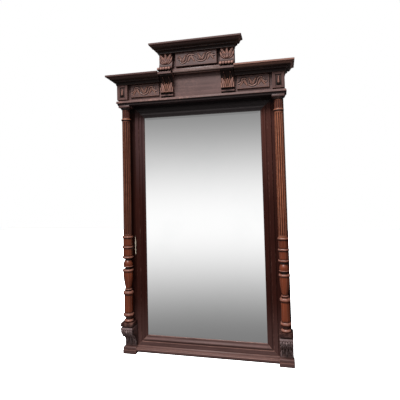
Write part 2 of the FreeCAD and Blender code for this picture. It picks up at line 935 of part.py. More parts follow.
def crest_shelf():
    """Moulding under the crest panel, between the two consoles."""
    top_front = centre_board_front + shelf_top_depth
    front = centre_board_front + shelf_depth
    nose_bottom = shelf_bottom + shelf_nose
    nose_top = nose_bottom + shelf_nose
    cove_share = 0.18
    outline = [(centre_board_front, shelf_bottom), (centre_board_front, shelf_top),
               (top_front, shelf_top), (front, nose_top), (front, nose_bottom),
               (top_front, shelf_bottom)]
    return run_across(outline, {2: cove_share, 4: cove_share}, -console_inner, console_inner)


def spacer_blocks():
    """Blocks that hold the centre board off the back board."""
    x1 = console_outer - spacer_inset
    blocks = []
    for level in (architrave_top, cornice_board_bottom - spacer_height):
        blocks.append(box(x1 - spacer_width, x1, back_board_front, centre_board_back, level,
                          level + spacer_height))
    return both_sides(blocks)


def make_crest():
    """Centre board, consoles, plates, shelf, crest panel and spacers."""
    save("centre_board", box(-console_outer, console_outer, centre_board_back,
                             centre_board_front, architrave_top, total_height))
    save_pair("lower_console", lower_console())
    save_pair("console_plate", box(console_inner, console_outer, centre_board_front,
                                   centre_board_front + plate_depth, plate_bottom, plate_top))
    save_pair("upper_console", upper_console())
    save("crest_shelf", crest_shelf())
    panel_half = console_inner - crest_panel_side_gap
    save("crest_panel", tablet(-panel_half, panel_half, crest_panel_thickness,
                               centre_board_front, shelf_top + crest_panel_foot_gap,
                               crest_frieze_top))
    save("spacer_blocks", spacer_blocks())


def dust_board():
    """Top board behind the centre board, with an arm to each cornice front."""
    back = box(-frieze_half, frieze_half, backboard_thickness, centre_board_back,
               cornice_board_bottom, cornice_top)
    arm = box(console_outer, frieze_half, backboard_thickness, end_block_front,
              cornice_board_bottom, cornice_top)
    return back.fuse([arm, mirrored(arm)])


def make_cornices():
    """Broken lower cornice and the cornice of the crest."""
    tail = end_block_front - frieze_front
    section = cornice_section(frieze_top, cornice_top, cornice_projection, tail)
    save_pair("cornice_front", front_run(section, console_outer, frieze_half, end_block_front,
                                         cornice_projection, tail))
    section = cornice_section(frieze_top, cornice_top, cornice_projection, 0)
    save_pair("cornice_return", return_run(section, frieze_half, end_block_front,
                                           cornice_projection, backboard_thickness))
    save("dust_board", dust_board())
    section = cornice_section(crest_frieze_top, total_height, crest_cornice_projection,
                              crest_box_depth)
    save("crest_cornice_front", front_run(section, -console_outer, console_outer, crest_front,
                                          crest_cornice_projection, crest_box_depth))
    section = cornice_section(crest_frieze_top, total_height, crest_cornice_projection, 0)
    save_pair("crest_cornice", return_run(section, console_outer, crest_front,
                                          crest_cornice_projection, centre_board_front))
    save("crest_top_board", box(-console_outer, console_outer, centre_board_front, crest_front,
                                total_height - cornice_board_thickness, total_height))


make_frame()
make_foot()
save_pair("column", column())
make_architrave()
make_frieze()
make_crest()
make_cornices()
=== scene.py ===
"""Dress of the tall walnut wall mirror: stain, carving, turned columns, glass, stage and camera.

Metres, in the frame of the solids: X across, Y back to the wall, Z up, origin on the floor.
Carving and turning are drawn in millimetres, with distances in front of the wall.
"""
import math

import bmesh
import bpy
import numpy as np
from mathutils import Matrix, Vector


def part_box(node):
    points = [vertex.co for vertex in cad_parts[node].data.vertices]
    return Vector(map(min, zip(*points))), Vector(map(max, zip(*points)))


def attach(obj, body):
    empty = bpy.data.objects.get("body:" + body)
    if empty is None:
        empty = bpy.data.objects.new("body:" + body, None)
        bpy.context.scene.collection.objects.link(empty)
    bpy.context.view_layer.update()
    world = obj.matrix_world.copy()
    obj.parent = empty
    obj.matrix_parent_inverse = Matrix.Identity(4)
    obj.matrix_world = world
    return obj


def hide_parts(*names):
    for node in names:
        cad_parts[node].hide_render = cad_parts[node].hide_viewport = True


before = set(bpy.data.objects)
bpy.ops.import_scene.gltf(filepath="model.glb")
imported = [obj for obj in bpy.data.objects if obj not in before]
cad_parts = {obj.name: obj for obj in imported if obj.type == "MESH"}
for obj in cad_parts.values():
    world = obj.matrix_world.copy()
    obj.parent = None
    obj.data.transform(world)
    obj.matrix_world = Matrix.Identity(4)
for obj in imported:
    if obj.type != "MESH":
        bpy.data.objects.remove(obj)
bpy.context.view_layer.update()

bl_info = {
    "name": "Walnut Wall Mirror",
    "version": (1, 0, 0),
    "blender": (4, 5, 0),
    "location": "View3D > Sidebar > Mirror",
    "description": "Finishes, carving and stage of a carved walnut wall mirror",
    "category": "Object",
}

MM = 0.001
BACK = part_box("backboard_1")[1].y
OPENING_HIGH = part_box("glass_moulding_top")[0].z


# Sizes and colours that a user would change

def colour(name, description, value):
    """Colour property with a linear value."""
    return bpy.props.FloatVectorProperty(
        name=name, description=description, subtype="COLOR", size=3, min=0, max=1, default=value)


def length(name, description, value):
    """Length property in metres."""
    return bpy.props.FloatProperty(
        name=name, description=description, subtype="DISTANCE", unit="LENGTH", min=0,
        default=value, precision=5)


def factor(name, description, value, high):
    """Strength or power."""
    return bpy.props.FloatProperty(name=name, description=description, min=0, max=high,
                                   default=value)


class MirrorColours(bpy.types.PropertyGroup):
    """Stains, wear, metal and silvering of the mirror."""
    cornice_deep: colour("Cornice deep stain", "Grain lines of the cornices",
                         (0.0080, 0.0042, 0.0036))
    cornice: colour("Cornice stain", "Dark stain of the cornices", (0.062, 0.0355, 0.0285))
    # Painted shade: these three paint the boards under the architrave nearly black, with greyer
    # edges, to stand for the shadow there
    dusk_deep: colour("Dusk deep stain", "Grain lines under the architrave",
                      (0.0045, 0.0034, 0.0036))
    dusk: colour("Dusk stain", "Nearly black stain under the architrave",
                 (0.0150, 0.0120, 0.0130))
    painted_shade_rub: colour("Dusk edge", "Dusty edges under the architrave", (0.070, 0.062, 0.067))
    stain_deep: colour("Deep stain", "Grain lines of the frame", (0.020, 0.0041, 0.0025))
    stain: colour("Stain", "Walnut stain of the frame", (0.042, 0.0090, 0.0055))
    frieze_deep: colour("Frieze deep stain", "Grain lines of the frieze and the foot",
                        (0.052, 0.025, 0.0225))
    frieze: colour("Frieze stain", "Faded stain of the frieze and the foot", (0.135, 0.071, 0.065))
    turned_deep: colour("Turned deep stain", "Grain lines of the columns",
                        (0.060, 0.0115, 0.0040))
    turned: colour("Turned stain", "Warm stain of the columns", (0.245, 0.050, 0.0155))
    ember: colour("Ember stain", "Warm stain left on the leaves", (0.190, 0.075, 0.045))
    # Used for worn edges and rubbed crests, and also as painted highlight on carved crests, the
    # tops of mouldings and the right cornice's top
    worn: colour("Worn edge", "Edges rubbed down to paler wood", (0.36, 0.185, 0.145))
    # Wax and painted shade in the carving's hollows
    hollow: colour("Hollow", "Dark wax left in the hollows of the carving", (0.010, 0.006, 0.005))
    # Pale colour of a thin sliver on the left stile
    sliver_colour: colour("Bare wood", "Fresh wood where the stain is chipped off", (0.95, 0.84, 0.68))
    arris: colour("Arris", "Rubbed arrises of the shafts", (0.40, 0.150, 0.080))
    # Dusty grey on the brackets' crests, also a painted sheen
    ash: colour("Ash", "Dusty crests of the brackets", (0.27, 0.20, 0.20))
    # Painted sheen on the frame from its middle up: grey on the left moulding, red on the right
    # stile and moulding
    painted_grey_sheen: colour("Bloom", "Grey bloom on the left moulding", (0.135, 0.088, 0.096))
    painted_red_sheen: colour("Blush", "Red bloom on the right of the frame", (0.150, 0.054, 0.042))
    # Painted highlight on the bead over the glass
    bead: colour("Bead", "Dusty bead over the glass", (0.100, 0.088, 0.092))
    pine_deep: colour("Pine grain", "Late wood of the back boards", (0.27, 0.16, 0.08))
    pine: colour("Pine", "Aged softwood of the back boards", (0.44, 0.31, 0.19))
    iron: colour("Iron", "Blackened iron of the plates and screws", (0.055, 0.050, 0.046))
    rust: colour("Rust", "Rust on the iron", (0.13, 0.06, 0.03))
    silver: colour("Silvering", "Silvered face of the glass", (0.98, 0.98, 0.98))
    tarnish: colour("Tarnish", "Faint clouds in the old silvering", (0.92, 0.93, 0.93))


class MirrorSizes(bpy.types.PropertyGroup):
    """Small sizes of the dress that the solids don't carry."""
    edge_round: length("Edge round", "Rounding of the boards' edges", 0.0009)
    band_width: length("Wave width", "Width of the carved wave", 0.0095)
    band_rise: length("Wave rise", "Height of the carved wave", 0.0034)
    sprig_gap: length("Sprig gap", "From the wave to the root of a sprig", 0.013)
    flute_count: bpy.props.IntProperty(name="Flutes", description="Flutes round each shaft",
                                       min=3, max=40, default=12)
    flute_radius: length("Flute radius", "Radius of a flute's hollow", 0.0045)
    flute_sink: length("Flute depth", "How deep a flute sinks", 0.0030)
    screw_head: length("Screw head", "Radius of the back's screw heads", 0.0040)


class MirrorLight(bpy.types.PropertyGroup):
    """Strengths of the studio light."""
    key: factor("Key light", "Power of the large lamp above and to the left, in watts", 330.0,
                1000.0)
    fill: factor("Fill", "Strength of the light from all round", 0.7, 10.0)


# Shader tools

class Signal:
    """Output of a node that can stand in a sum."""

    def __init__(self, sheet, socket):
        self.sheet = sheet
        self.socket = socket

    def sum_with(self, operation, first, second):
        """Output of a Math node."""
        return self.sheet.node("ShaderNodeMath", {"operation": operation}, first, second)

    def __add__(self, other):
        return self.sum_with("ADD", self, other)

    __radd__ = __add__

    def __mul__(self, other):
        return self.sum_with("MULTIPLY", self, other)

    __rmul__ = __mul__

    def __sub__(self, other):
        return self.sum_with("SUBTRACT", self, other)

    def __rsub__(self, other):
        return self.sum_with("SUBTRACT", other, self)

    def __pow__(self, other):
        return self.sum_with("POWER", self, other)

    def largest(self, other):
        """The larger of two values."""
        return self.sum_with("MAXIMUM", self, other)

    def root(self):
        """Square root."""
        return self.sum_with("SQRT", self, None)

    def size(self):
        """Value without its sign."""
        return self.sum_with("ABSOLUTE", self, None)

    def ramp(self, low, high, start=0.0, end=1.0):
        """Straight run from start at low to end at high, level beyond them."""
        return self.sheet.node("ShaderNodeMapRange", None, self, low, high, start, end)

    def between(self, low, high):
        """0 at low, 1 at high, eased in between."""
        return self.sheet.node("ShaderNodeMapRange", {"interpolation_type": "SMOOTHSTEP"},
                               self, low, high, 0.0, 1.0)


class Sheet:
    """Node tree of a material, of the world or of a shape."""

    def __init__(self, tree):
        self.tree = tree
        tree.nodes.clear()

    def node(self, kind, settings=None, *inputs, output=0, **named):
        """Adds a node: its settings first, then the values or links of its sockets."""
        made = self.tree.nodes.new(kind)
        for key, value in (settings or {}).items():
            if key == "stops":
                self.set_stops(made.color_ramp, value)
            else:
                setattr(made, key, value)
        for place, value in list(enumerate(inputs)) + list(named.items()):
            if isinstance(place, str):
                place = place.replace("_", " ")
            socket = made.inputs[place]
            if isinstance(value, Signal):
                self.tree.links.new(value.socket, socket)
            elif value is not None:
                socket.default_value = value
        return Signal(self, made.outputs[output]) if made.outputs else made

    def set_stops(self, ramp, stops):
        """Fills a colour ramp from (place, colour) pairs."""
        while len(ramp.elements) < len(stops):
            ramp.elements.new(1.0)
        for element, (place, value) in zip(ramp.elements, stops):
            element.position = place
            element.color = (*value, 1.0)

    def mix(self, share, first, second):
        """Mix of two colours."""
        made = self.tree.nodes.new("ShaderNodeMix")
        made.data_type = "RGBA"
        for name, value in (("Factor", share), ("A", first), ("B", second)):
            socket = next(s for s in made.inputs if s.name == name and s.enabled)
            if isinstance(value, Signal):
                self.tree.links.new(value.socket, socket)
            else:
                socket.default_value = value if name == "Factor" else (*value, 1.0)
        return Signal(self, next(s for s in made.outputs if s.enabled))

    def position(self):
        """Object coordinates."""
        return self.node("ShaderNodeTexCoord", output="Object")

    def part(self, vector, axis):
        """One part of a vector."""
        return self.node("ShaderNodeSeparateXYZ", None, vector, output=axis)

    def finish(self, base, roughness, height=None, bump=0.0, **constants):
        """Principled surface, with a bump where a height is given."""
        normal = None
        if height is not None:
            normal = self.node("ShaderNodeBump", None, Strength=bump, Distance=MM, Height=height)
        surface = self.node("ShaderNodeBsdfPrincipled", None, Base_Color=base,
                            Roughness=roughness, Normal=normal, **constants)
        self.node("ShaderNodeOutputMaterial", None, surface)


def new_material(name):
    """Empty node material and its sheet."""
    material = bpy.data.materials.new(name)
    material.use_nodes = True
    return material, Sheet(material.node_tree)


def tint(name, strength=1.0):
    """Value of one of the mirror's colours."""
    return [value * strength for value in getattr(bpy.context.scene.mirror_colours, name)]


def noise(sheet, place, scale, detail, roughness, distortion=0.0):
    """Value of a noise texture."""
    return sheet.node("ShaderNodeTexNoise", None, Vector=place, Scale=scale, Detail=detail,
                      Roughness=roughness, Distortion=distortion)


# Finishes

# Noises of the wood: scale, detail, roughness and distortion
BANDS = (26.0, 3.0, 0.5, 1.4)
FIBRES = (150.0, 5.0, 0.6)
STREAKS = (700.0, 2.0, 0.5)
CLOUD = (5.0, 3.0, 0.6)
SPOTS = (55.0, 4.0, 0.65)
GRAIN_STRETCH = 0.05
PORE_DARKNESS = 0.45
HOLLOW_SHARE = 0.94
GRAIN_BUMP = 0.22


def grain_position(sheet, axis, shift):
    """Object coordinates drawn out along the grain."""
    stretch = [1.0, 1.0, 1.0]
    stretch["XYZ".index(axis)] = GRAIN_STRETCH
    return sheet.node("ShaderNodeMapping", None, sheet.position(),
                      (shift, shift * 1.7, shift * 2.3), (0.0, 0.0, 0.0), stretch)


def wood(name, axis, shift, deep, pale, polish, dust_and_top_light=0.0, specular=0.35, rub=0.0, carved=0.0,
         crown="worn", strength=1.0, fades=(), sliver=None):
    """Stained wood: growth bands, fibres, pores, cloudy stain, and dust with a painted top light
    on what faces up.

    Carved wood is darkened in its hollows, as wax and painted shade, and painted to the crown
    colour on its crests, as wear and painted highlight. Each fade runs from one level to another,
    up to a share of its colour. A sliver is a middle and a reach.
    """
    material, sheet = new_material(name)
    deep, pale, crown = [tint(each, strength) for each in (deep, pale, crown)]
    plain = sheet.position()
    along = grain_position(sheet, axis, shift)
    bands, fibres, streaks = [noise(sheet, along, *kind) for kind in (BANDS, FIBRES, STREAKS)]
    cloud, spots = [noise(sheet, plain, *kind) for kind in (CLOUD, SPOTS)]
    tone = bands.between(0.30, 0.72) * 0.45 + fibres.between(0.30, 0.70) * 0.30 + cloud * 0.25
    stained = sheet.mix(tone, deep, pale)
    pore = streaks.between(0.58, 0.72) * 0.5
    stained = sheet.mix(pore, stained, [value * PORE_DARKNESS for value in deep])
    if rub:
        bared = spots.between(0.42, 0.66) * cloud.between(0.35, 0.6) * rub
        stained = sheet.mix(bared, stained, tint("worn"))
    # What faces up is painted paler: dust, and a painted top light
    if dust_and_top_light:
        facing = sheet.node("ShaderNodeNewGeometry", output="Normal")
        facing_up_mask = sheet.part(facing, "Z").between(0.15, 0.95) * (cloud * 0.5 + 0.6) * dust_and_top_light
        stained = sheet.mix(facing_up_mask, stained, tint("worn"))
    if carved:
        warm = sheet.node("ShaderNodeAttribute", {"attribute_name": "warm"}, output="Fac")
        stained = sheet.mix(warm, stained, tint("ember"))
        crest = sheet.node("ShaderNodeAttribute", {"attribute_name": "crest"}, output="Fac")
        # Hollows are darkened as wax and painted shade
        sunk = crest.ramp(-0.7, -0.05, 1.0, 0.0) * HOLLOW_SHARE
        stained = sheet.mix(sunk, stained, tint("hollow"))
        # Crests are painted to the crown colour as wear and painted highlight
        rub_and_painted_light = crest.ramp(0.10, 0.9) * (spots.between(0.30, 0.62) * 0.55 + 0.45) * carved
        stained = sheet.mix(rub_and_painted_light, stained, crown)
    level = sheet.part(plain, "Z")
    for start, end, share, shade in fades:
        faded = level.between(min(start, end), max(start, end))
        if start > end:
            faded = 1.0 - faded
        stained = sheet.mix(faded * (tone * 0.4 + 0.7) * share, stained, tint(shade))
    # A pale sliver on one board
    if sliver:
        middle, reach = sliver
        gap = sheet.node("ShaderNodeVectorMath", {"operation": "SUBTRACT"}, plain, middle)
        gap = sheet.node("ShaderNodeVectorMath", {"operation": "DIVIDE"}, gap, reach)
        gap = sheet.node("ShaderNodeVectorMath", {"operation": "LENGTH"}, gap, output="Value")
        sliver_mask = (gap + spots * 1.4 - 0.7).ramp(0.92, 1.0, 1.0, 0.0)
        stained = sheet.mix(sliver_mask, stained, tint("sliver_colour"))
    rough = cloud * 0.16 + pore * 0.15 + polish
    sheet.finish(stained, rough, fibres * 0.5 - pore, GRAIN_BUMP, Specular_IOR_Level=specular)
    return material


def iron_finish():
    """Blackened iron with rust."""
    material, sheet = new_material("blackened_iron")
    grain = noise(sheet, sheet.position(), 60.0, 5.0, 0.6)
    base = sheet.mix(grain.between(0.5, 0.75) * 0.6, tint("iron"), tint("rust"))
    sheet.finish(base, grain * 0.3 + 0.45, grain, 0.3, Metallic=1.0)
    return material


def glass_finish():
    """Silvered glass, with faint clouds in the silvering."""
    material, sheet = new_material("silvered_glass")
    cloud = noise(sheet, sheet.position(), 3.0, 4.0, 0.6)
    base = sheet.mix(cloud.between(0.45, 0.75) * 0.5, tint("silver"), tint("tarnish"))
    sheet.finish(base, 0.0, Metallic=1.0)
    return material


# Edges of the boards

# Widest angle that still counts as flat, and narrowest that is eased, in degrees
FLAT_ANGLE, EDGE_ANGLE = 0.8, 35


def ease_edges(node, width):
    """Rounds a solid's edges a little, and gives the rounds the second finish of the node."""
    weld = node.modifiers.new("weld", "WELD")
    weld.merge_threshold = 0.01 * MM
    flat = node.modifiers.new("flat", "DECIMATE")
    flat.decimate_type = "DISSOLVE"
    flat.angle_limit = math.radians(FLAT_ANGLE)
    ease = node.modifiers.new("ease", "BEVEL")
    ease.width = width
    ease.segments = 2
    ease.limit_method = "ANGLE"
    ease.angle_limit = math.radians(EDGE_ANGLE)
    ease.material = 1


def long_axis(name):
    """Axis along which a solid is longest, so that its grain runs that way."""
    low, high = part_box(name)
    return "XYZ"[max(range(3), key=lambda place: high[place] - low[place])]


def dress(name, *materials, edge=0.0):
    """Gives a solid its finish and, with a second one, eased and rubbed edges."""
    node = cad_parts[name]
    node.data.materials.clear()
    for material in materials:
        node.data.materials.append(material)
    if edge:
        ease_edges(node, edge)


# Geometry trees

def new_tree(name, **sizes):
    """Geometry tree with named inputs; returns it, its sheet and the inputs' signals."""
    tree = bpy.data.node_groups.new(name, "GeometryNodeTree")
    tree.interface.new_socket(name="Geometry", in_out="OUTPUT",
                              socket_type="NodeSocketGeometry")
    for label, kind in sizes.items():
        tree.interface.new_socket(name=label, in_out="INPUT", socket_type="NodeSocket" + kind)
    sheet = Sheet(tree)
    entry = tree.nodes.new("NodeGroupInput")
    return tree, sheet, {label: Signal(sheet, entry.outputs[label]) for label in sizes}


def close_tree(sheet, shape, material):
    """Makes the instances real, sets the material and hands the shape out."""
    shape = sheet.node("GeometryNodeRealizeInstances", None, shape)
    shape = sheet.node("GeometryNodeSetMaterial", None, Geometry=shape, Material=material)
    sheet.node("NodeGroupOutput", None, shape)


def grown_mesh(name, tree, seat=None, **values):
    """Plain mesh that a geometry tree makes with these inputs, on a seat mesh if it needs one."""
    carrier = bpy.data.objects.new(name, seat or bpy.data.meshes.new(name))
    bpy.context.scene.collection.objects.link(carrier)
    modifier = carrier.modifiers.new("tree", "NODES")
    modifier.node_group = tree
    for item in tree.interface.items_tree:
        if item.in_out == "INPUT" and item.name in values:
            modifier[item.identifier] = values[item.name]
    graph = bpy.context.evaluated_depsgraph_get()
    made = bpy.data.meshes.new_from_object(carrier.evaluated_get(graph))
    carrier.modifiers.clear()
    bpy.data.objects.remove(carrier)
    made.name = name
    return made


# Carving tools

# How far round a cell its neighbourhood reaches and what stands fully proud of it, and the depths
# where the gloom, a painted shade of deep places, starts and is full, in millimetres
CREST_REACH, CREST_RISE = 2.6, 0.8
GLOOM_START, GLOOM_FULL = 1.2, 3.6


def smooth_step(value, low, high):
    """0 at low, 1 at high, eased in between."""
    share = np.clip((value - low) / (high - low), 0, 1)
    return share * share * (3 - 2 * share)


def plateau(value, start, full, fall, end):
    """Rises from start to full, and sinks again from fall to end."""
    return smooth_step(value, start, full) * (1 - smooth_step(value, fall, end))


def blurred(field, reach):
    """Field averaged over a square of cells, twice."""
    for axis in (0, 1, 0, 1):
        total = np.zeros_like(field)
        for shift in range(-reach, reach + 1):
            place = np.clip(np.arange(field.shape[axis]) + shift, 0, field.shape[axis] - 1)
            total += np.take(field, place, axis)
        field = total / (2 * reach + 1)
    return field


class Relief:
    """Carved heights over a rectangle, in millimetres: x from its middle, s down from its top.
    The gloom is how dark its deep places are painted, as painted shade; the shade field paints
    cells darker or paler."""

    def __init__(self, width, height, gloom, pitch=0.8):
        columns = round(width / pitch) + 1
        rows = round(height / pitch) + 1
        self.width = width
        self.height = height
        self.pitch = pitch
        self.gloom = gloom
        self.x, self.s = np.meshgrid(np.linspace(-width / 2, width / 2, columns),
                                     np.linspace(0, height, rows))
        self.level = np.zeros_like(self.x)
        self.shade = np.zeros_like(self.x)
        self.warm = np.zeros_like(self.x)

    def nearest(self, line):
        """Distance of every cell from a line, and how far along the line it is met."""
        line = np.array(line, float)
        gap = np.full(self.x.shape, np.inf)
        along = np.zeros_like(self.x)
        for index in range(len(line) - 1):
            start = line[index]
            step = line[index + 1] - start
            share = ((self.x - start[0]) * step[0] + (self.s - start[1]) * step[1]) / (step @ step)
            share = np.clip(share, 0, 1)
            away = np.hypot(self.x - start[0] - share * step[0],
                            self.s - start[1] - share * step[1])
            closer = away < gap
            gap[closer] = away[closer]
            along[closer] = (index + share[closer]) / (len(line) - 1)
        return gap, along

    def blade(self, guide, width, rise, vein, groove, base=0.35, lobes=0, tip=0.7):
        """Leaf along a bent spine: rounded, pointed at its tip, with a vein and a cut round it."""
        start, middle, end = [np.array(point, float) for point in guide]
        t = np.linspace(0, 1, 17)[:, None]
        gap, along = self.nearest((1 - t) ** 2 * start + 2 * t * (1 - t) * middle + t ** 2 * end)
        swell = np.maximum(np.sin(np.pi * np.clip(base + (1 - base) * along, 0, 1) ** 0.9), 0)
        half = width / 2 * (swell ** tip * (1 + 0.14 * np.sin(along * lobes * 2 * np.pi)) + 0.04)
        inside = 1 - smooth_step(gap / half, 0.86, 1.1)
        body = rise * np.sqrt(np.clip(1 - (gap / half) ** 2, 0, 1)) * 0.6 + rise * 0.4
        body -= vein * np.exp(-(gap / (0.10 * width)) ** 2) * (1 - along)
        cut = groove * np.exp(-((gap - half * 1.12) / (0.8 + 0.05 * width)) ** 2) * (gap > half)
        lower = self.level - cut
        self.level = lower * (1 - inside) + np.maximum(body, lower + 0.3 * rise) * inside

    def mirrored_blades(self, guide, **kinds):
        """The same leaf on both sides of the middle."""
        for side in (-1, 1):
            self.blade([(side * x, s) for x, s in guide], **kinds)

    def band(self, line, width, rise, groove):
        """Rounded cord along a line, with a cut on both sides."""
        gap = self.nearest(line)[0]
        half = width / 2
        raised = rise * np.sqrt(np.clip(1 - (gap / half) ** 2, 0, 1))
        cut = groove * np.exp(-((gap - half * 1.45) / (half * 0.55)) ** 2) * (gap > half * 0.9)
        self.level = np.where(gap < half, np.maximum(self.level, raised), self.level - cut)

    def channel(self, line, width, deep):
        """Soft groove along a line."""
        self.level -= deep * np.exp(-(self.nearest(line)[0] / (width / 2)) ** 2)

    def stroke(self, line, width, value):
        """Paints a line of the relief darker, or with a positive value paler."""
        self.shade += value * np.exp(-(self.nearest(line)[0] / (width / 2)) ** 2)

    def glow(self, line, width, value):
        """Leaves more of the warm stain along a line."""
        share = value * (1 - smooth_step(self.nearest(line)[0], 0.3 * width, 0.6 * width))
        self.warm = np.maximum(self.warm, share)

    def spot(self, x, s, radius, value):
        """Paints a round place paler, or with a negative value darker."""
        gap = np.hypot(self.x - x, self.s - s)
        self.shade += value * (1 - smooth_step(gap, 0.4 * radius, radius))

    def reed(self, s, width, rise):
        """Level cord across the whole width; a negative rise is a groove."""
        self.level += rise * np.exp(-((self.s - s) / (width / 2)) ** 2)

    def drop(self, x, s, radius, rise):
        """Round bead, or with a negative rise a drilled eye."""
        gap = np.hypot(self.x - x, self.s - s)
        self.level += rise * np.sqrt(np.clip(1 - (gap / radius) ** 2, 0, 1))

    def rim(self, margin, fall, ends=False):
        """Eases the cells down towards the long sides, and the ends if asked."""
        near = self.width / 2 - np.abs(self.x)
        if ends:
            near = np.minimum(near, np.minimum(self.s, self.height - self.s))
        self.level -= fall * (1 - smooth_step(near, 0, margin))

    def crest(self):
        """How far each cell stands above its neighbourhood, from -1 to 1; deep places are darkened
        by the gloom as painted shade, and the shade field is added.
        """
        proud = self.level - blurred(self.level, max(1, round(CREST_REACH / self.pitch)))
        sunk = smooth_step(-self.level, GLOOM_START, GLOOM_FULL)
        return np.clip(proud / CREST_RISE - self.gloom * sunk + self.shade, -1, 1)


def path_through(points, bulges, count=14):
    """Line of (distance, level) points; a bulge is an arc's height as a share of its chord,
    towards the wall."""
    line = [points[0]]
    for index, (start, end) in enumerate(zip(points, points[1:])):
        start, end = np.array(start, float), np.array(end, float)
        chord = end - start
        span = np.hypot(*chord)
        bulge = bulges.get(index, 0)
        if not bulge:
            line.append(tuple(end))
            continue
        inwards = np.array((chord[1], -chord[0])) / span
        radius = span * (0.25 / abs(bulge) + abs(bulge)) / 2
        rise = abs(bulge) * span
        centre = (start + end) / 2 + math.copysign(1, bulge) * inwards * (rise - radius)
        first = start - centre
        sweep = 4 * math.atan(2 * abs(bulge))
        turn = math.copysign(1, first[0] * (end - centre)[1] - first[1] * (end - centre)[0])
        for step in range(1, count + 1):
            angle = turn * sweep * step / count
            line.append((centre[0] + first[0] * math.cos(angle) - first[1] * math.sin(angle),
                         centre[1] + first[0] * math.sin(angle) + first[1] * math.cos(angle)))
    return np.array(line)


def even_rows(line, count):
    """Points at equal steps along a line, and the way out from the surface at each."""
    steps = np.hypot(*np.diff(line, axis=0).T)
    reach = np.concatenate([[0], np.cumsum(steps)])
    at = np.linspace(0, reach[-1], count)
    rows = np.stack([np.interp(at, reach, line[:, axis]) for axis in (0, 1)], 1)
    way = np.gradient(rows, axis=0)
    out = np.stack([-way[:, 1], way[:, 0]], 1)
    for _ in range(2):
        out = np.stack([np.convolve(np.pad(out[:, axis], 2, "edge"), np.ones(5) / 5, "valid")
                        for axis in (0, 1)], 1)
    out /= np.linalg.norm(out, axis=1)[:, None]
    return rows, out


# Making a piece

# Angles from which the edges stay sharp, in degrees
BLOCK_SHARP, CARVED_SHARP, POST_SHARP, SHAFT_SHARP = 40, 55, 30, 35


def depth(distance):
    """Y of a place at this many millimetres in front of the wall."""
    return BACK - distance * MM


def add_piece(mesh, material, slot, *nodes):
    """Links a finished mesh as a piece on the one body, in place of solids."""
    piece = bpy.data.objects.new(mesh.name, mesh)
    bpy.context.scene.collection.objects.link(piece)
    mesh.materials.clear()
    mesh.materials.append(material)
    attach(piece, "root")
    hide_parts(*nodes)


def tidy_mesh(mesh, sharp):
    """Merges doubles, turns the normals outwards and marks the sharp edges."""
    shape = bmesh.new()
    shape.from_mesh(mesh)
    bmesh.ops.remove_doubles(shape, verts=shape.verts, dist=1e-6)
    bmesh.ops.dissolve_degenerate(shape, edges=shape.edges, dist=1e-7)
    bmesh.ops.recalc_face_normals(shape, faces=shape.faces)
    if shape.calc_volume(signed=True) < 0:
        bmesh.ops.reverse_faces(shape, faces=shape.faces)
    limit = math.radians(sharp)
    for edge in shape.edges:
        edge.smooth = edge.is_manifold and edge.calc_face_angle(0) < limit
    for face in shape.faces:
        face.smooth = True
    shape.to_mesh(mesh)
    shape.free()


def closed_mesh(name, points, faces, sharp, **values):
    """Mesh of points and faces, with values of its points as attributes."""
    mesh = bpy.data.meshes.new(name)
    mesh.from_pydata([tuple(point) for point in points], [], faces)
    for label, value in values.items():
        made = mesh.attributes.new(label, "FLOAT", "POINT")
        made.data.foreach_set("value", np.asarray(value, np.float32))
    tidy_mesh(mesh, sharp)
    return mesh


def block_mesh(name, across, distances, levels, ease):
    """Block with eased edges, from its sides, its back and front, and its bottom and top."""
    shape = bmesh.new()
    bmesh.ops.create_cube(shape, size=1.0)
    for point in shape.verts:
        x, y, z = [int(value > 0) for value in point.co]
        point.co = (across[x] * MM, depth(distances[1 - y]), levels[z] * MM)
    bmesh.ops.bevel(shape, geom=shape.edges[:], offset=ease * MM, segments=2, profile=0.5,
                    affect="EDGES")
    mesh = bpy.data.meshes.new(name)
    shape.to_mesh(mesh)
    shape.free()
    tidy_mesh(mesh, BLOCK_SHARP)
    return mesh


def grid_faces(rows, columns):
    """Faces of a grid of points that is seen from the front, row by row from the top."""
    row, column = np.meshgrid(np.arange(rows - 1), np.arange(columns - 1), indexing="ij")
    first = (row * columns + column).ravel()
    return np.stack([first, first + columns, first + columns + 1, first + 1], 1).tolist()


def carved_mesh(name, relief, line, top, middle, back, side_painted_light):
    """Body that follows a side outline down from its top, with a relief on its front.
    Its sides are painted paler towards the wall, a painted light of the given share."""
    rows, columns = relief.x.shape
    path, out = even_rows(line, rows)
    path[:, 1] += top
    x = middle + relief.x
    distance = path[:, :1] + relief.level * out[:, :1]
    level = path[:, 1:] + relief.level * out[:, 1:]
    front = np.stack([x * MM, depth(distance), level * MM], 2).reshape(-1, 3)
    points, crest, warm = [front], [relief.crest().ravel()], [relief.warm.ravel()]
    for side in (0, -1):
        edge = np.stack([x[:, side] * MM, np.full(rows, depth(back)), path[:, 1] * MM], 1)
        points.append(edge)
        crest.append(np.full(rows, side_painted_light))
        warm.append(np.zeros(rows))
    faces = grid_faces(rows, columns)
    left, right = rows * columns, rows * columns + rows
    for row in range(rows - 1):
        start, end = row * columns, (row + 1) * columns
        faces.append((start, left + row, left + row + 1, end))
        faces.append((start + columns - 1, end + columns - 1, right + row + 1, right + row))
        faces.append((left + row, right + row, right + row + 1, left + row + 1))
    faces.append([*range(columns), right, left])
    last = (rows - 1) * columns
    faces.append([left + rows - 1, right + rows - 1, *reversed(range(last, last + columns))])
    return closed_mesh(name, np.concatenate(points), faces, CARVED_SHARP,
                       crest=np.concatenate(crest), warm=np.concatenate(warm))


# Carved designs

def wave_line(points, count=18, swing=0.75):
    """Wave that eases from one high or low place to the next, with broad rounded turns."""
    line = []
    for (x0, s0), (x1, s1) in zip(points, points[1:]):
        for step in range(count):
            share = step / count
            eased = (1 - math.cos(math.pi * share)) / 2
            across = share + swing * math.sin(2 * math.pi * share) / (2 * math.pi)
            line.append((x0 + (x1 - x0) * across, s0 + (s1 - s0) * eased))
    return line + [points[-1]]


